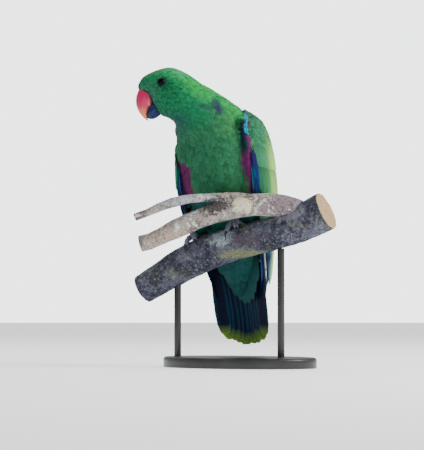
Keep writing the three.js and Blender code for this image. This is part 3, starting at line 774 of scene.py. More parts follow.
def make_guide():
    """The guide, pushed out or in at some places to the photo's outline: each place's mask and its push."""
    flesh = remeshed(copy_of(*FLESH, *EYES), 1.3, 10)
    wings = [wing_core(side, 3.2, "wing_form") for side in SIDES.values()]
    guide = remeshed(joined(flesh, *wings), 1.4, 8)
    points = points_of(guide)
    ahead, above, _ = head_places(points)
    across, height = points @ RIGHT, points[:, 2]
    nape = band(-60, -36, -8, 8, ahead)
    nape = nape * smoothly(-8, 6, above + 0.6 * (ahead + 20) * (ahead < -20))
    shoulder = band(-34, -16, 17, 26, across) * smoothly(262, 288, height)
    brow = smoothly(20, 27, ahead) * band(-1, 4, 9, 16, above)
    pushes = [
        (smoothly(15, 25, ahead), 2.6 * HEAD_FORWARD),
        (nape, 0.9 * UP - 0.6 * HEAD_FORWARD),
        (brow, 0.2 * HEAD_FORWARD - 0.9 * UP),
        (shoulder * (1.3 + smoothly(-8, 8, across) + 2.0 * smoothly(9, 16, across)), UP),
        (smoothly(-50, -58, across) * band(268, 275, 281, 288, height), 1.2 * RIGHT),
        (smoothly(-40, -54, across) * band(228, 240, 258, 270, height), -3.8 * RIGHT),
        (band(-9, 1, 5, 13, ahead) * smoothly(-12, -19, above), -2.1 * UP),
    ]
    shift = sum(here[:, None] * push for here, push in pushes)
    move_points(guide, points + shift + filled_flank(points))
    return guide


def make_skin():
    """Skin inside the plumage, with the wings' cores, all one surface."""
    flesh = remeshed(copy_of(*FLESH, *EYES), 1.3, 6)
    points, normals = points_of(flesh), normals_of(flesh)
    depth = 2.2 - smoothly(-40, -20, head_places(points)[0])
    move_points(flesh, points - normals * depth[:, None])
    cores = [wing_core(side, -0.8, "wing_form") for side in SIDES.values()]
    skin = remeshed(joined(flesh, *cores), 1.5, 4)
    carry(skin, "plumage", "FLOAT_COLOR", coat_colour(points_of(skin)))
    return dress(skin, "skin", skin_paint(), "green_plumage", *FLESH, "wing_left", "wing_right")


# Where the wing's blue front edge ends along the wrap, at some heights
BLUE_EDGE = [[200, -16], [221, -16], [246, -16.5], [254, -20.5], [272, -20.5], [285, -14], [296, -6]]


def rim_light_band(along, height):
    """A painted highlight: the pale band down the wing's outer bend, where its outline catches the light."""
    return band(-1, 14, 32, 46, along) * smoothly(292, 266, height)


def wing_share(points):
    """How much a place belongs to a folded wing."""
    share = 0
    for side in SIDES.values():
        along, out = off_wrap(points, side)
        height = points[..., 2]
        front, rear, _ = table(WING_CORE, height)
        inside = smoothly(front - 3, front + 3, along) * smoothly(rear + 4, rear - 6, along)
        share = share + inside * smoothly(-6.5, -3.0, out) * smoothly(138, 150, height) * (height < 303)
    return np.clip(share, 0, 1)


def wing_colour(points):
    """Green of the wing's small coverts, with a painted highlight towards the outer bend, and blue at the
    front edge.
    """
    height = points[..., 2]
    layers = []
    for side in SIDES.values():
        along = off_wrap(points, side)[0]
        here = points[..., 0] * side > 0
        edge = table(BLUE_EDGE, height)[0]
        blue = here * smoothly(edge + 1.5, edge - 1, along) * ((side > 0) | (height < 232))
        layers += [
            (smoothly(250, 272, height) * 0.8, WING_DARK),
            (here * rim_light_band(along, height) * 0.7, RIM_LIGHT_GREEN),
            (here * smoothly(44, 58, along), MANTLE),
            (blue, DEEP_BLUE),
            (blue * smoothly(222, 238, height), NAVY),
        ]
    return layered(WING_GREEN, height.shape, *layers)


def coat_colour(points):
    share = wing_share(points)[..., None]
    return body_colour(points) * (1 - share) + wing_colour(points) * share


# How the coat lies: it follows a line from the bill over the neck and down to the tail
SPINE = np.array([
    in_head(24, -4), in_head(2, 1), [-18.8, -49.8, 303], [-10, -29, 287], [-2, -12, 267], [0, -5, 243],
    [0, 1, 213], [0, 13.5, 181], [0, 26, 152], [0, 27, 111], [4, 33, 66],
])
THIGHS = [([25, -17, 190], [19, -27, 158]), ([-18, -15, 188], [-25, -30, 146])]
WING_LINES = [([44, -18, 298], [58, -2, 246]), ([58, -2, 246], [56, 4, 190])]
# Coat by the distance from the bill: spacing, length, width, height of the tips, depth of the roots
COAT = [
    [0, 1.25, 4.4, 2.4, 0.16, 0.4], [14, 1.35, 5.2, 2.7, 0.19, 0.45], [30, 1.7, 7.0, 3.5, 0.25, 0.6],
    [50, 2.1, 9.2, 4.7, 0.36, 0.8], [80, 2.6, 11.6, 6.2, 0.5, 1.1], [120, 3.0, 14, 7.8, 0.6, 1.4],
    [200, 3.3, 16, 9.0, 0.7, 1.5], [240, 3.1, 15, 8.4, 0.65, 1.4], [290, 3.0, 14, 8.0, 0.6, 1.3],
]


def coat_lines():
    """Every stretch that the coat follows: its start, its run, how far it reaches and how strongly."""
    lines = [(a, b - a, 26.0, 1.0) for a, b in zip(SPINE[:-1], SPINE[1:])]
    lines += [(np.array(hip), np.subtract(ankle, hip), 15.0, 1.6) for hip, ankle in THIGHS]
    for flip in ([side, 1, 1] for side in SIDES.values()):
        for start, end in WING_LINES:
            lines.append((np.multiply(start, flip), np.subtract(end, start) * flip, 16.0, 1.6))
    return lines


def coat_lie(points):
    """The direction of the coat at some places, and their distance along the spine from the bill."""
    flow = np.zeros_like(points)
    nearest = np.full(len(points), 1e9)
    from_bill = np.zeros(len(points))
    travelled = 0.0
    for number, (start, run, reach, force) in enumerate(coat_lines()):
        length = np.linalg.norm(run)
        share = np.clip((points - start) @ run / length**2, 0, 1)
        distance = np.linalg.norm(points - start - share[:, None] * run, axis=1)
        flow += (force * np.exp(-((distance / reach) ** 2)) + 1e-6)[:, None] * run / length
        if number < len(SPINE) - 1:
            closer = distance < nearest
            from_bill[closer] = travelled + share[closer] * length
            nearest = np.minimum(nearest, distance)
            travelled += length
    return unit(flow), from_bill


TRIES = 7  # places tried for each feather that is wanted
CELL = 4.0  # the side of the cells that near places are looked up in


def scatter(guide):
    """Places for feathers on the guide, as close together as the coat there asks."""
    mesh = guide.data
    mesh.calc_loop_triangles()
    corners = np.empty(len(mesh.loop_triangles) * 3, np.int32)
    mesh.loop_triangles.foreach_get("vertices", corners)
    points = points_of(guide)
    a, b, c = (points[corners.reshape(-1, 3)[:, k]] for k in range(3))
    area = np.linalg.norm(np.cross(b - a, c - a), axis=1) / 2
    middle = (a + b + c) / 3
    spacing = coat_numbers(middle)[0]
    wanted = area / spacing**2 * feathered(middle)
    count = int(wanted.sum() * TRIES)
    pick = draw.choice(len(area), count, p=wanted / wanted.sum())
    s, t = draw.random((2, count, 1))
    over = s + t > 1
    s, t = np.where(over, 1 - s, s), np.where(over, 1 - t, t)
    places = a[pick] + s * (b - a)[pick] + t * (c - a)[pick]
    return thinned(places, spacing[pick])


def thinned(places, spacing):
    """Keeps places that are no closer to each other than their spacing."""
    keep, filled = [], {}
    cells = np.floor(places / CELL).astype(int).tolist()
    rows, gaps = places.tolist(), (spacing**2).tolist()
    around = [(i, j, k) for i in (-1, 0, 1) for j in (-1, 0, 1) for k in (-1, 0, 1)]
    for number, (place, (i, j, k), gap) in enumerate(zip(rows, cells, gaps)):
        x, y, z = place
        near = (spot for di, dj, dk in around for spot in filled.get((i + di, j + dj, k + dk), ()))
        if all((x - u) ** 2 + (y - v) ** 2 + (z - w) ** 2 >= gap for u, v, w in near):
            filled.setdefault((i, j, k), []).append(place)
            keep.append(number)
    return places[keep]


LID, BARE = 4.4, 4.9  # round the eye: the lid's radius, and how far out no feather is rooted
UNDER_WING = -3.5  # deeper in the wrap than this, the body lies under the folded wing


def lid_middle(side):
    return in_head(EYE["ahead"], EYE["above"], side * (EYE["deep"] + 3))


def coat_numbers(points):
    """Spacing, length, width, lift and root depth of the feathers at some places."""
    numbers = table(COAT, coat_lie(points)[1])
    beside_bill = smoothly(12, 20, head_places(points)[0])
    thigh = smoothly(178, 165, points[:, 2]) * (points[:, 1] < -12)
    sizes = [1.15, 3.8, 2.2, 0.1, 0.35], [2.6, 10, 5.4, 0.4, 1.0], [2.8, 10.5, 6.8, 0.45, 1.1]
    for share, values in zip((beside_bill, thigh, wing_share(points)), sizes):
        numbers = [number + share * (value - number) for number, value in zip(numbers, values)]
    for side in SIDES.values():
        from_lid = np.linalg.norm(points - lid_middle(side), axis=1) - LID
        numbers[0] = np.minimum(numbers[0], 0.8 + 0.15 * from_lid)
        numbers[1] = np.minimum(numbers[1], np.maximum(from_lid, 1.2) * 0.85)
        numbers[2] = np.minimum(numbers[2], 1.5 + 0.3 * from_lid)
    return numbers


def clear_of(points, *nodes):
    """Whether points lie outside some solids."""
    solid = copy_of(*nodes)
    corners = [tuple(face.vertices) for face in solid.data.polygons]
    tree = BVHTree.FromPolygons(points_of(solid).tolist(), corners)
    bpy.data.objects.remove(solid)
    clear = []
    for point in points:
        place, normal, _, distance = tree.find_nearest(point)
        clear.append(distance > 0.3 and (Vector(point) - place).dot(normal) > 0)
    return np.array(clear)


def feathered(points):
    """1 where small feathers grow: not on the eyes, nor where the folded wings cover the body."""
    height = points[:, 2]
    grow = np.ones(len(points))
    for side in SIDES.values():
        grow *= np.linalg.norm(points - lid_middle(side), axis=1) > BARE
        along, out = off_wrap(points, side)
        front, rear, _ = table(WING_CORE, height)
        under = (along > front + 6) & (along < rear - 8) & (height < 296) & (height > 150)
        grow *= ~(under & (out < UNDER_WING))
        limit = 247 + 4 * np.sin(along * 0.8) + 3 * np.sin(along * 2.3)
        covered = (along > front + 5) & (along < rear - 6) & (height < limit) & (height > 140)
        grow *= ~(covered & (out >= UNDER_WING))
    return grow


# Vanes: thin closed lenses of feather, a top and an underside that share their rim
def vane_faces(rows, columns):
    """Vertex numbers of the top and the underside, and the faces over them."""
    top = np.arange(rows * columns).reshape(rows, columns)
    under = top.copy()
    inner = (rows - 2) * (columns - 2)
    under[1:-1, 1:-1] = rows * columns + np.arange(inner).reshape(rows - 2, columns - 2)
    upper = np.stack([top[:-1, :-1], top[1:, :-1], top[1:, 1:], top[:-1, 1:]], -1)
    lower = np.stack([under[:-1, :-1], under[:-1, 1:], under[1:, 1:], under[1:, :-1]], -1)
    return np.concatenate([upper.reshape(-1, 4), lower.reshape(-1, 4)]), rows * columns + inner


def inside_rim(rows, columns):
    """1 over a vane's grid and 0 on its rim."""
    grid = np.zeros((rows, columns))
    grid[1:-1, 1:-1] = 1
    return grid


MOST_TRIANGLES = 190000  # of one piece
PATCH = 0.0015  # half the width of a vane's patch on the unwrap


class Plumage:
    """Many vanes of one grid, made into pieces that stay under a size that is easy to handle."""

    def __init__(self, rows, columns):
        self.rows, self.columns = rows, columns
        self.faces, self.each = vane_faces(rows, columns)
        self.parts = []

    def add(self, top, under, colour, vane, patch, flipped=False):
        """Vanes as arrays of vane by row by column: top and underside places, colours, values and patch."""
        def shelled(upper, lower):
            count = len(upper)
            inner = lower[:, 1:-1, 1:-1].reshape(count, -1, lower.shape[-1])
            return np.concatenate([upper.reshape(count, -1, upper.shape[-1]), inner], 1)

        pairs = (top, under), (colour, colour), (vane, vane), (patch, patch)
        faces = self.faces[:, ::-1] if flipped else self.faces
        self.parts.append([shelled(*pair) for pair in pairs] + [faces])

    def sharpen(self, piece):
        """Keeps each rim a crisp edge, so that a vane's top shades as one smooth sheet."""
        on_rim = np.zeros(self.each, bool)
        on_rim[:self.rows * self.columns] = inside_rim(self.rows, self.columns).ravel() == 0
        ends = np.empty(len(piece.data.edges) * 2, np.int32)
        piece.data.edges.foreach_get("vertices", ends)
        sharp = on_rim[ends.reshape(-1, 2) % self.each].all(1)
        piece.data.attributes.new("sharp_edge", "BOOLEAN", "EDGE").data.foreach_set("value", sharp)

    def make(self, name, paint, slot, *nodes):
        """Makes the pieces, which share their triangles evenly and stand for some solids."""
        limit = MOST_TRIANGLES // (2 * len(self.faces))
        points, colour, vane, patch = (np.concatenate([part[k] for part in self.parts]) for k in range(4))
        faces = np.concatenate([np.repeat(part[4][None], len(part[0]), 0) for part in self.parts])
        pieces = math.ceil(len(points) / limit)
        for number in range(pieces):
            cut = slice(number * len(points) // pieces, (number + 1) * len(points) // pieces)
            count = len(points[cut])
            offset = np.arange(count)[:, None, None] * self.each
            corners = (faces[cut] + offset).reshape(-1, 4)
            piece = new_mesh(name, points[cut].reshape(-1, 3), corners)
            self.sharpen(piece)
            carry(piece, "plumage", "FLOAT_COLOR", colour[cut].reshape(-1, 4))
            carry(piece, "vane", "FLOAT_VECTOR", vane[cut].reshape(-1, 3))
            bake = piece.data.uv_layers.new(name="OFBake")
            bake.data.foreach_set("uv", patch[cut].reshape(-1, 2)[corners.ravel()].astype(np.float32).ravel())
            called = name if pieces == 1 else f"{name}_{number + 1}"
            dress(piece, called, paint, slot, *nodes)


def vane_data(along, beside, chance, roots):
    """What vanes' points carry: a place on the vane with its chance, and a patch of the unwrap."""
    shape = (len(chance), len(along), len(beside))
    along, beside = np.broadcast_to(along[:, None], shape), np.broadcast_to(beside, shape)
    values = np.stack([along, beside, np.broadcast_to(chance[:, None, None], shape)], -1)
    offset = np.stack([beside * PATCH, (along * 2 - 1) * PATCH], -1)
    return values, np.clip(roots[:, None, None] + offset, 0.002, 0.998)


def unwrap(points):
    """Places on an unwrap of the skin: the turn round the spine, and the way along it."""
    from_bill = coat_lie(points)[1]
    lengths = np.concatenate([[0], np.cumsum(np.linalg.norm(np.diff(SPINE, axis=0), axis=1))])

    def on_spine(gone):
        return np.stack([np.interp(gone, lengths, column) for column in SPINE.T], -1)

    run = unit(on_spine(from_bill + 8) - on_spine(from_bill - 8))
    front = np.array([0.3, -1.0, 0.35])
    front = unit(front - (run @ front)[:, None] * run)
    from_spine = points - on_spine(from_bill)
    turn = np.arctan2((from_spine * np.cross(run, front)).sum(-1), (from_spine * front).sum(-1))
    return np.stack([turn / (2 * math.pi) + 0.5, from_bill / lengths[-1]], -1)


def outline(rows, root, widest, tip):
    """Rows along a vane and its half width there, rounded at the tip."""
    along = np.concatenate([np.linspace(0, widest, rows - 3)[:-1], [widest, 0.5 + widest / 2, 0.955, 1.0]])
    rise = root + (1 - root) * np.sin(np.clip(along / widest, 0, 1) * math.pi / 2)
    fall = np.clip((along - widest) / (1 - widest), 0, 1)
    wide = np.where(along <= widest, rise, np.sqrt(np.clip(1 - fall**2, 0, 1)) * (1 - tip) + tip)
    return along, wide


class Surface:
    """The guide, ready for laying points on it."""

    def __init__(self, guide):
        self.points, self.normals = points_of(guide), normals_of(guide)
        self.corners = [tuple(face.vertices) for face in guide.data.polygons]
        self.tree = BVHTree.FromPolygons(self.points.tolist(), self.corners)

    def lay(self, points):
        """The nearest places on the surface, and its smooth normals there."""
        shape = points.shape
        places, faces = [], []
        for point in points.reshape(-1, 3).tolist():
            place, _, face, _ = self.tree.find_nearest(point)
            places.append(place)
            faces.append(face)
        places = np.array(places)
        corners = np.array([self.corners[face] for face in faces])
        away = np.linalg.norm(self.points[corners] - places[:, None], axis=-1) + 0.05
        normals = unit((self.normals[corners] / away[..., None]).sum(1))
        return places.reshape(shape), normals.reshape(shape)


def grow_coat(surface, roots, numbers, rows, columns, thick, untidy):
    """Vanes rooted on the guide that lie along the coat, each laid over its own stretch of the guide."""
    _, length, width, lift, sink = (column[:, None, None] for column in numbers)
    places, normals = surface.lay(roots)
    flow = coat_lie(places)[0]
    lean = draw.normal(0, untidy, len(places))[:, None]
    flow = unit(flow - (flow * normals).sum(1, keepdims=True) * normals)
    flow = unit(flow + lean * np.cross(normals, flow))
    beside = np.cross(normals, flow)
    chance = draw.random(len(places))
    size = (0.85 + 0.3 * chance)[:, None, None]
    along, wide = outline(rows, 0.5, 0.5, 0.12)
    down, across = along[:, None], np.linspace(-1, 1, columns)
    ragged = 1 + draw.normal(0, 0.05, (len(places), rows, 1))
    reach = (down * length * size)[..., None]
    aside = (wide[:, None] * across * ragged * width * size / 2)[..., None]
    flat = places[:, None, None] + flow[:, None, None] * reach + beside[:, None, None] * aside
    laid, standing = surface.lay(flat - normals[:, None, None] * reach**2 * 0.008)
    raised = draw.uniform(0.6, 1.4, (len(places), 1, 1)) * lift * down**1.5 - sink * (1 - down) ** 1.4
    raised = raised - 0.035 * width * across**2 * np.sin(down * math.pi * 0.9)
    middle = laid + standing * raised[..., None]
    half = standing * (thick / 2 * inside_rim(rows, columns))[..., None]
    values, patch = vane_data(along, across, chance, unwrap(places))
    colour = coat_colour((places[:, None, None] + middle) / 2)
    return middle + half, middle - half, colour, values, patch


def make_coat(guide):
    """The small feathers of head, neck and body, finer and with fewer points towards the bill."""
    surface = Surface(guide)
    places = scatter(guide)
    near_bill = head_places(places)[0] > 4
    clear = np.ones(len(places), bool)
    clear[near_bill] = clear_of(places[near_bill], "bill_upper", "bill_lower")
    places = places[clear]
    numbers = np.array(coat_numbers(places))
    from_bill = coat_lie(places)[1]
    paint = feather_paint("small_feathers", 46.0)
    fine = feather_paint("face_feathers", 26.0, 0.56, varied=0.6)
    bands = [
        ("head_feathers", from_bill < 44, 5, 3, 0.13, 0.1, fine),
        ("neck_feathers", (from_bill >= 44) & (from_bill < 100), 5, 5, 0.22, 0.09, paint),
        ("body_feathers", from_bill >= 100, 6, 5, 0.34, 0.08, paint),
    ]
    for name, here, rows, columns, thick, untidy, colours in bands:
        coat = Plumage(rows, columns)
        order = np.flatnonzero(here)[np.argsort(from_bill[here])]
        coat.add(*grow_coat(surface, places[order], numbers[:, order], rows, columns, thick, untidy))
        coat.make(name, colours, "green_plumage", *FLESH)


# Flight feathers and their coverts, laid out flat on the wrap
LONG_ROWS, LONG_COLUMNS = 11, 7
FLIGHT_BARBS = 90.0  # drawn along a vane
ACROSS_VANE = np.array([-1, -0.55, -0.1, 0, 0.1, 0.55, 1])


# A place on a vane: how far along and beside its shaft, how far through its tier, and where it lies flat
OnVane = namedtuple("OnVane", "along beside through back height")


def laid_vanes(onto, roots, tips, widths, lifts, sink, tilt, paint_vane, form, thick=0.36, bow=0.0,
               patch_at=0.0, flipped=False, crown=0.5, count=1, settling=0.0, loose=1.0):
    """A tier of long vanes, given by the roots, tips, widths and lifts of its first and its last."""
    chance = draw.random(count)
    share = np.linspace(0, 1, count)[:, None]
    root, tip, width, lift = (
        np.array(first) * (1 - share) + np.array(last) * share for first, last in (roots, tips, widths, lifts)
    )
    tip[:, 1] -= bow * (1 - (2 * share[:, 0] - 1) ** 2) + (chance - 0.5) * 3.4 * loose
    tip[:, 0] += draw.normal(0, 0.7, count) * loose
    along, wide = form
    down = along[:, None]
    run = tip - root
    side = unit(np.stack([-run[:, 1], run[:, 0]], -1))
    ragged = 1 + draw.normal(0, 0.02, (count, len(along), 1)) * (np.abs(ACROSS_VANE) > 0.9)
    offset = ACROSS_VANE * wide[:, None] * (width / 2)[..., None] * ragged
    flat = root[:, None, None] + run[:, None, None] * down[..., None]
    flat = flat + side[:, None, None] * offset[..., None]
    shaft = (np.abs(ACROSS_VANE) < 0.05) * 0.3
    raised = lift[..., None] - sink * (1 - down) + ACROSS_VANE * tilt - settling * down**3
    raised = raised + crown * (1 - ACROSS_VANE**2) * np.sin(down * math.pi)
    inner = inside_rim(len(along), LONG_COLUMNS)
    top = onto(flat[..., 0], flat[..., 1], raised + (thick / 2 + shaft) * inner)
    under = onto(flat[..., 0], flat[..., 1], raised - thick / 2 * inner)
    place = np.stack([0.5 + patch_at + root[:, 0] / 400, root[:, 1] / 340], -1)
    values, patch = vane_data(along, ACROSS_VANE, chance, place)
    through = np.broadcast_to(share[..., None], raised.shape)
    at = OnVane(values[..., 0], values[..., 1], through, flat[..., 0], flat[..., 1])
    return top, under, paint_vane(at), values, patch, flipped


# Colours of long vanes at places on them
def wing_green_vane(at):
    """Green coverts and secondaries, with a painted highlight down the wing's outer bend."""
    low = smoothly(152, 138, at.height)
    return layered(
        WING_GREEN, at.along.shape,
        (smoothly(250, 272, at.height) * 0.8, WING_DARK),
        (rim_light_band(at.back, at.height) * 0.7, RIM_LIGHT_GREEN),
        (low * smoothly(18, 14, at.back), BLUE_GREY),
        (low * smoothly(12, 8, at.back), NAVY),
        (smoothly(-2, -9, at.back) * 0.5, WING_TEAL),
        (smoothly(44, 60, at.back), MANTLE),
        (smoothly(0.6, 0.0, at.along) * 0.5, BELLY),
    )


def covert_blue_vane(at):
    """Primary coverts: violet above, dark blue below, with a turquoise front edge."""
    line = (at.through < 0.1) * smoothly(-0.45, -0.8, at.beside)
    return layered(
        DEEP_BLUE, at.along.shape,
        (smoothly(222, 240, at.height), VIOLET),
        (smoothly(206, 198, at.height), NAVY),
        (line * smoothly(231, 226, at.height) * smoothly(205, 211, at.height), TEAL),
    )


def primary_vane(at):
    return layered(
        NAVY, at.along.shape,
        (smoothly(0.05, -0.45, at.beside) * smoothly(0.95, 0.55, at.along), DEEP_BLUE),
        (smoothly(-0.6, -0.9, at.beside) * smoothly(0.9, 0.5, at.along) * 0.25, TEAL),
    )


def first_primary_vane(at):
    """The outermost primary: a dark front web, a white shaft and a grey blue rear web."""
    shaft = np.interp(np.abs(at.beside), [0, 0.1, 0.2], [1.0, 0.6, 0.0])
    return layered(NAVY, at.along.shape, (smoothly(0.05, 0.3, at.beside), GREY_BLUE), (shaft, WHITE_SHAFT))


def inner_primary_vane(at):
    """Inner primaries: dark, turning blue and then pale green towards the outer edge, partly their own green
    and partly a painted highlight.
    """
    blue, green = smoothly(-0.2, 0.3, at.beside), smoothly(0.3, 0.9, at.beside)
    return layered(NAVY, at.along.shape, (blue, BLUE_GREY), (green, RIM_LIGHT_GREEN))


def turquoise_vane(at):
    return layered(TURQUOISE, at.along.shape, (smoothly(0.5, 0.0, at.along) * 0.5, DEEP_BLUE))


def tail_vane(at):
    edges, tip = smoothly(0.5, 0.95, np.abs(at.beside)) * 0.22, smoothly(0.9, 1.0, at.along)
    return layered(NAVY, at.along.shape, (edges, TEAL), (tip, YELLOW_GREEN))


def undertail_vane(at):
    return layered(UNDERTAIL, at.along.shape)


# The turquoise strip at the wing's front edge: its rows, and how far along the wrap it is at a height
TURQUOISE_ROWS = (292.5, 288, 283, 278.5, 274)
TURQUOISE_EDGE = [[294, -4.5], [285, -14.5], [276, -21.7], [266, -23.1]]


def make_wing(name, side):
    feathers = Plumage(LONG_ROWS, LONG_COLUMNS)
    flight, covert = outline(LONG_ROWS, 0.55, 0.45, 0.1), outline(LONG_ROWS, 0.6, 0.55, 0.15)
    narrow = outline(LONG_ROWS, 0.6, 0.35, 0.05)
    onto = on_wrap(side)

    def tier(count, roots, tips, widths, lifts, sink, tilt, colours, form, **more):
        feathers.add(*laid_vanes(onto, roots, tips, widths, lifts, sink, tilt, colours, form, count=count,
                                 patch_at=0.25 * side, flipped=side < 0, **more))

    alula = covert_blue_vane if side > 0 else wing_green_vane
    tier(1, [[-16.5, 196]] * 2, [[19, 76]] * 2, [12, 12], [-5.0, -5.0], 0.4, 0.35, first_primary_vane, flight,
         loose=0)
    tier(9, [[-8, 198], [8, 180]], [[10, 74], [26, 118]], [13, 15], [-6.6, -4.4], 0.4, 0.35, primary_vane,
         flight, bow=-3)
    tier(4, [[4, 190], [16, 188]], [[15, 86], [22, 104]], [12, 13], [-4.6, -3.6], 0.4, 0.35,
         inner_primary_vane, flight)
    tier(12, [[-11, 208], [62, 222]], [[17, 97], [66, 131]], [14, 17], [-1.4, 0.0], 2.2, 0.8, wing_green_vane,
         flight, bow=-5)
    tier(11, [[-10, 243], [58, 253]], [[-9, 199], [64, 198]], [13, 16], [0.6, 1.4], 2.4, 0.8, wing_green_vane,
         covert, bow=3, settling=1.2)
    tier(11, [[-11, 264], [48, 273]], [[-10, 230], [59, 233]], [13, 16], [1.7, 2.5], 2.6, 0.8,
         wing_green_vane, covert, bow=3, settling=1.6)
    tier(5, [[-22.8, 234], [-19.6, 226]], [[-23.4, 188], [-19.6, 172]], [5.6, 6.6], [1.5, 2.0], 1.6, 0.4,
         covert_blue_vane, covert, loose=0.4)
    tier(3, [[-20.2, 248], [-18.2, 245]], [[-21.8, 216], [-18.8, 206]], [4.2, 4.6], [2.0, 2.4], 1.6, 0.3,
         alula, covert, loose=0.4)
    for top in TURQUOISE_ROWS:
        root, tip = (float(table(TURQUOISE_EDGE, top - drop)[0]) for drop in (0, 9))
        roots = [[root + 0.6, top], [root + 1.9, top + 0.5]]
        tips = [[tip + 1.0, top - 7.4], [tip + 2.6, top - 8.8]]
        tier(2, roots, tips, [2.8, 3.2], [-1.0, -0.2], 1.6, 0.3, turquoise_vane, narrow, thick=0.3, crown=0.4,
             loose=0.8)
    paint = feather_paint(f"wing_feathers_{name}", FLIGHT_BARBS, 0.46, 0.3, 0.35)
    feathers.make(f"wing_{name}_feathers", paint, "wing_plumage", f"wing_{name}")


TAIL = {"top": 122, "tip": 26, "feathers": 12, "width": 18.5, "root_pitch": 5.5, "tip_pitch": 5}
ROOF = 0.0045  # how soon the tail's fan falls away to the sides


def make_tail():
    """Twelve broad tail feathers, nearly black with blue edges and a green tip, and the undertail coverts."""
    feathers = Plumage(LONG_ROWS, LONG_COLUMNS)

    def onto(across, height, out):
        return on_tail(across, height, out - ROOF * across**2)

    for from_middle in np.arange(TAIL["feathers"]) - (TAIL["feathers"] - 1) / 2:
        step = abs(from_middle)
        root = [from_middle * TAIL["root_pitch"], TAIL["top"]]
        tip = [from_middle * TAIL["tip_pitch"], TAIL["tip"] + 0.3 * step * step]
        lift = 2.8 - 0.95 * step + 0.45 * (from_middle > 0)
        feathers.add(*laid_vanes(
            onto, [root] * 2, [tip] * 2, [TAIL["width"]] * 2, [lift] * 2, 0.6, 0, tail_vane,
            outline(LONG_ROWS, 0.6, 0.7, 0.25), thick=0.7, crown=0.1, flipped=True,
        ))
    feathers.add(*laid_vanes(
        onto, [[-17, 130], [30, 130]], [[-7, 97], [27, 99]], [13, 13], [-7.4, -7.4], 0.4, 0, undertail_vane,
        outline(LONG_ROWS, 0.6, 0.5, 0.1), thick=0.5, crown=0.1, count=8, bow=25, patch_at=0.1, flipped=True,
    ))
    paint = feather_paint("tail_vanes", FLIGHT_BARBS, 0.4, 0.15, 0.2)
    feathers.make("tail_feathers", paint, "tail_plumage", "tail")


# Bill, eyes and lids
def make_bill():
    upper = remeshed(copy_of("bill_upper"), 0.4, 6)
    dress(upper, "bill_upper_horn", bill_upper_paint(), "bill_coral", "bill_upper")
    lower = remeshed(copy_of("bill_lower"), 0.4, 6)
    dress(lower, "bill_lower_horn", bill_lower_paint(), "bill_black", "bill_lower")


def facing(direction, middle):
    """A turn that points Z along a direction, at a place in the bird's frame."""
    turn = Vector(direction).to_track_quat("Z", "Y").to_matrix().to_4x4()
    return Matrix.Translation(Vector((middle + BIRD_AT) * MM)) @ turn


# Each eye has two beaded lid rings: radius, half thickness, and how far out from the eye's middle
LIDS = [(3.85, 0.34, 3.65), (4.25, 0.4, 3.25)]


def make_eye(name, side):
    middle = in_head(EYE["ahead"], EYE["above"], side * EYE["deep"])
    out = HEAD_LEFT * side
    bpy.ops.object.select_all(action="DESELECT")
    bpy.ops.mesh.primitive_uv_sphere_add(segments=40, ring_count=24, radius=EYE["radius"] * MM)
    ball = bpy.context.object
    ball.matrix_world = facing(out, middle)
    settle(ball)
    dress(ball, f"eyeball_{name}", eye_paint(name), "eye", f"eye_{name}")
    for number, (radius, thick, depth) in enumerate(LIDS):
        bpy.ops.object.select_all(action="DESELECT")
        bpy.ops.mesh.primitive_torus_add(major_segments=64, minor_segments=12, major_radius=radius * MM,
                                         minor_radius=thick * MM)
        lid = bpy.context.object
        for vertex in lid.data.vertices:
            x, y, z = vertex.co
            bead = 1 + 0.035 * math.cos(math.atan2(y, x) * 22 + number)
            vertex.co = Vector((x * bead, y * 0.93 * bead, z))
        lid.matrix_world = facing(out, middle + out * depth)
        settle(lid)
        outward(lid)
        dress(lid, f"eyelid_{name}_{number + 1}", lid_paint(), "foot_skin")


# Feet and claws
def make_feet():
    for name in SIDES:
        foot = remeshed(copy_of(f"foot_{name}"), 0.45, 4)
        points, normals = points_of(foot), normals_of(foot)
        ripple = np.sin(points @ unit(np.array([0.3, -0.6, -0.75])) * 2 * math.pi / 2.3)
        move_points(foot, points + normals * (0.16 * np.abs(ripple) ** 0.6)[:, None])
        dress(foot, f"scaled_foot_{name}", foot_paint(), "foot_skin", f"foot_{name}")
        for number in range(1, 5):
            claw = remeshed(copy_of(f"claw_{name}_{number}"), 0.24, 3)
            dress(claw, f"horn_claw_{name}_{number}", claw_paint(), "claw_horn", f"claw_{name}_{number}")


# Perch and stand. The sawn ends: an end's middle as seen, then a place further in
STEM_ENDS = [((-97, 91, -19.6), (-83, 99, -12.5)), ((113, 178, 80.5), (82, 163, 66.7))]
LIMB_ENDS = [((-98, 141.5, 55.5), (-86, 144.5, 57)), ((-104, 171, 65), (-88, 177, 66))]
SAWN = 28  # how far from its middle a sawn face reaches at most
# Bark: its tints from cracks to lichen, how rare the crusts are, and how much moss there is
STEM_BARK = [(26, 28, 40), (46, 48, 62), (86, 88, 104), (146, 148, 162), (160, 168, 172)], 0.64, 0.25
LIMB_BARK = [(74, 64, 68), (110, 98, 96), (164, 156, 150), (220, 216, 212), (226, 226, 222)], 0.56, 0.2
# Patches on it: the middle as seen, half the width and height, the tint and its strength
STEM_MARKS = [
    ((-9, 152, 52), 17, 13, (150, 166, 172), 0.95), ((18, 130, 54), 26, 6, (122, 126, 82), 0.8),
    ((-48, 128, 26), 12, 7, (112, 112, 124), 0.6), ((70, 176, 70), 26, 10, (132, 134, 146), 0.6),
    ((22, 146, 66), 22, 10, (70, 60, 68), 0.75),
]
LIMB_MARKS = [
    ((62, 188, 84), 34, 15, (124, 106, 120), 0.85), ((-14, 186, 76), 21, 10, (38, 30, 36), 0.95),
    ((-38, 178, 84), 13, 12, (232, 234, 240), 0.95), ((20, 184, 90), 18, 12, (230, 228, 190), 0.9),
    ((-60, 148, 68), 22, 9, (182, 158, 142), 0.7), ((-58, 193, 76), 34, 8, (176, 180, 198), 0.7),
    ((-25, 193, 86), 18, 6, (160, 168, 192), 0.9), ((5, 194, 88), 12, 6, (104, 90, 100), 0.85),
]


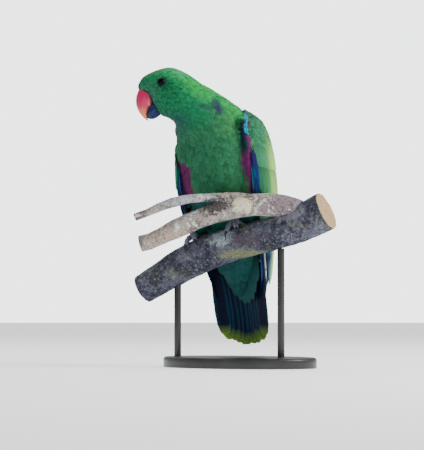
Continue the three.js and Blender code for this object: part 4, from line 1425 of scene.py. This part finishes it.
def saw_ends(piece, ends):
    """Gives the flat ends of a branch their pale sawn wood, with rings round the middle."""
    piece.data.materials.append(cut_wood_paint())
    points, faces = points_of(piece), piece.data.polygons
    centres, normals = read(faces, "center") / MM - BIRD_AT, read(faces, "normal")
    ring = np.zeros(len(points))
    sawn = np.zeros(len(centres), bool)
    for end, further_in in ends:
        middle = as_seen(*end)
        out = unit(middle - as_seen(*further_in))
        at_end = ((centres - middle) @ out > -2.2) & (normals @ out > 0.75)
        sawn |= at_end & (np.linalg.norm(centres - middle, axis=1) < SAWN)
        near = np.linalg.norm(points - middle, axis=1)
        ring = np.where(near < SAWN + 2, near, ring)
    faces.foreach_set("material_index", sawn.astype(np.int32))
    piece.data.attributes.new("ring", "FLOAT", "POINT").data.foreach_set("value", ring.astype(np.float32))
    piece.data.update()


def make_perch():
    """The stem, and the limb with its twig, their bark roughened."""
    for name, nodes, voxel, rough, paint_name, bark, marks, ends in (
        ("branch", ("perch_branch",), 1.1, 0.9, "bark", STEM_BARK, STEM_MARKS, STEM_ENDS),
        ("limb", ("perch_limb", "perch_twig"), 0.9, 0.55, "pale_bark", LIMB_BARK, LIMB_MARKS, LIMB_ENDS),
    ):
        name = f"perch_{name}_bark"
        piece = remeshed(copy_of(*nodes), voxel, 6)
        texture = bpy.data.textures.new(name, "CLOUDS")
        texture.noise_scale, texture.noise_depth = 0.011, 3
        modify(piece, "DISPLACE", texture=texture, strength=rough * 2 * MM, mid_level=0.62,
               texture_coords="GLOBAL")
        dress(piece, name, bark_paint(paint_name, *bark, marks), paint_name, *nodes)
        saw_ends(piece, ends)


SHARP = math.radians(35)  # an edge of the stand that turns more than this is bevelled and shades crisp


def make_stand():
    paint = stand_finish()
    for node in ("stand_base", "stand_rod_left", "stand_rod_right"):
        piece = copy_of(node)
        modify(piece, "BEVEL", width=0.9 * MM, segments=3, limit_method="ANGLE", angle_limit=SHARP)
        dress(piece, node + "_painted", paint, "stand_paint", node)
        select_only(piece)
        bpy.ops.object.shade_smooth_by_angle(angle=SHARP)


# Room, light and camera
# The camera: how far away and how high, where it aims, how wide a view it sees there, and its sensor's width
CAMERA = {"away": 2200, "height": 68, "aim_right": -16.1, "aim_height": 164, "aim_towards": 30, "seen": 517.5,
          "sensor": 36}


def aim(thing, target):
    toward = Vector(target * MM) - thing.location
    thing.rotation_euler = toward.to_track_quat("-Z", "Y").to_euler()


def make_camera():
    data = bpy.data.cameras.new("photo_camera")
    camera = in_scene("photo_camera", data)
    target = BIRD_AT + as_seen(CAMERA["aim_right"], CAMERA["aim_height"], CAMERA["aim_towards"])
    place = target + TOWARDS * CAMERA["away"]
    place[2] = CAMERA["height"]
    camera.location = Vector(place * MM)
    aim(camera, target)
    data.sensor_width = CAMERA["sensor"]
    data.lens = CAMERA["sensor"] * CAMERA["away"] / CAMERA["seen"]
    data.clip_start, data.clip_end = 0.05, 60
    bpy.context.scene.camera = camera


FLOOR_RADIUS = 7  # of the round pale floor, in metres
SKY_LIGHT, SKY_SEEN = 0.55, 3.4  # how bright the white sky lights things, and how bright it looks


def make_room():
    paint = Paint("pale_floor")
    soft = paint.noise(paint.place(), 3.0, 4.0)
    floor_paint = paint.finish(Base_Color=paint.mix(soft, tint(236, 237, 240), tint(244, 245, 247)),
                               Roughness=0.8 + soft * 0.1, Emission_Color=(1.0, 1.0, 1.0, 1.0),
                               Emission_Strength=0.8)
    bpy.ops.object.select_all(action="DESELECT")
    bpy.ops.mesh.primitive_circle_add(vertices=96, radius=FLOOR_RADIUS, fill_type="NGON",
                                      location=(0, 0, -0.0002))
    floor = bpy.context.object
    floor.name = "floor"
    floor.data.materials.append(floor_paint)
    world = bpy.data.worlds.new("white_sky")
    world.use_nodes = True
    sky = world.node_tree.nodes["Background"]
    sky.inputs["Color"].default_value = (0.97, 0.985, 1.0, 1)
    seen = world.node_tree.nodes.new("ShaderNodeLightPath")
    strength = world.node_tree.nodes.new("ShaderNodeMapRange")
    strength.inputs["To Min"].default_value, strength.inputs["To Max"].default_value = SKY_LIGHT, SKY_SEEN
    world.node_tree.links.new(seen.outputs["Is Camera Ray"], strength.inputs["Value"])
    world.node_tree.links.new(strength.outputs["Result"], sky.inputs["Strength"])
    bpy.context.scene.world = world


def add_light(name, azimuth, elevation, distance, size, watts, colour):
    """A soft light, its azimuth measured from the camera's side to the right."""
    data = bpy.data.lights.new(name, "AREA")
    data.size, data.energy, data.color = size, watts, colour
    light = in_scene(name, data)
    turn, rise = math.radians(azimuth), math.radians(elevation)
    direction = (TOWARDS * math.cos(turn) + RIGHT * math.sin(turn)) * math.cos(rise) + UP * math.sin(rise)
    target = BIRD_AT + UP * 220
    light.location = Vector((target + direction * distance) * MM)
    aim(light, target)


def make_lights():
    add_light("sun_side", 71, 30, 1500, 0.6, 24, (1.0, 0.97, 0.88))
    add_light("front_right", 45, 20, 1500, 0.5, 6, (1.0, 0.97, 0.95))
    add_light("sky_back", 190, 55, 1600, 1.4, 15, (0.95, 0.98, 1.0))


make_camera()
make_room()
make_lights()
make_skin()
guide = make_guide()
make_coat(guide)
bpy.data.objects.remove(guide)
for name, side in SIDES.items():
    make_wing(name, side)
    make_eye(name, side)
make_tail()
make_bill()
make_feet()
make_perch()
make_stand()
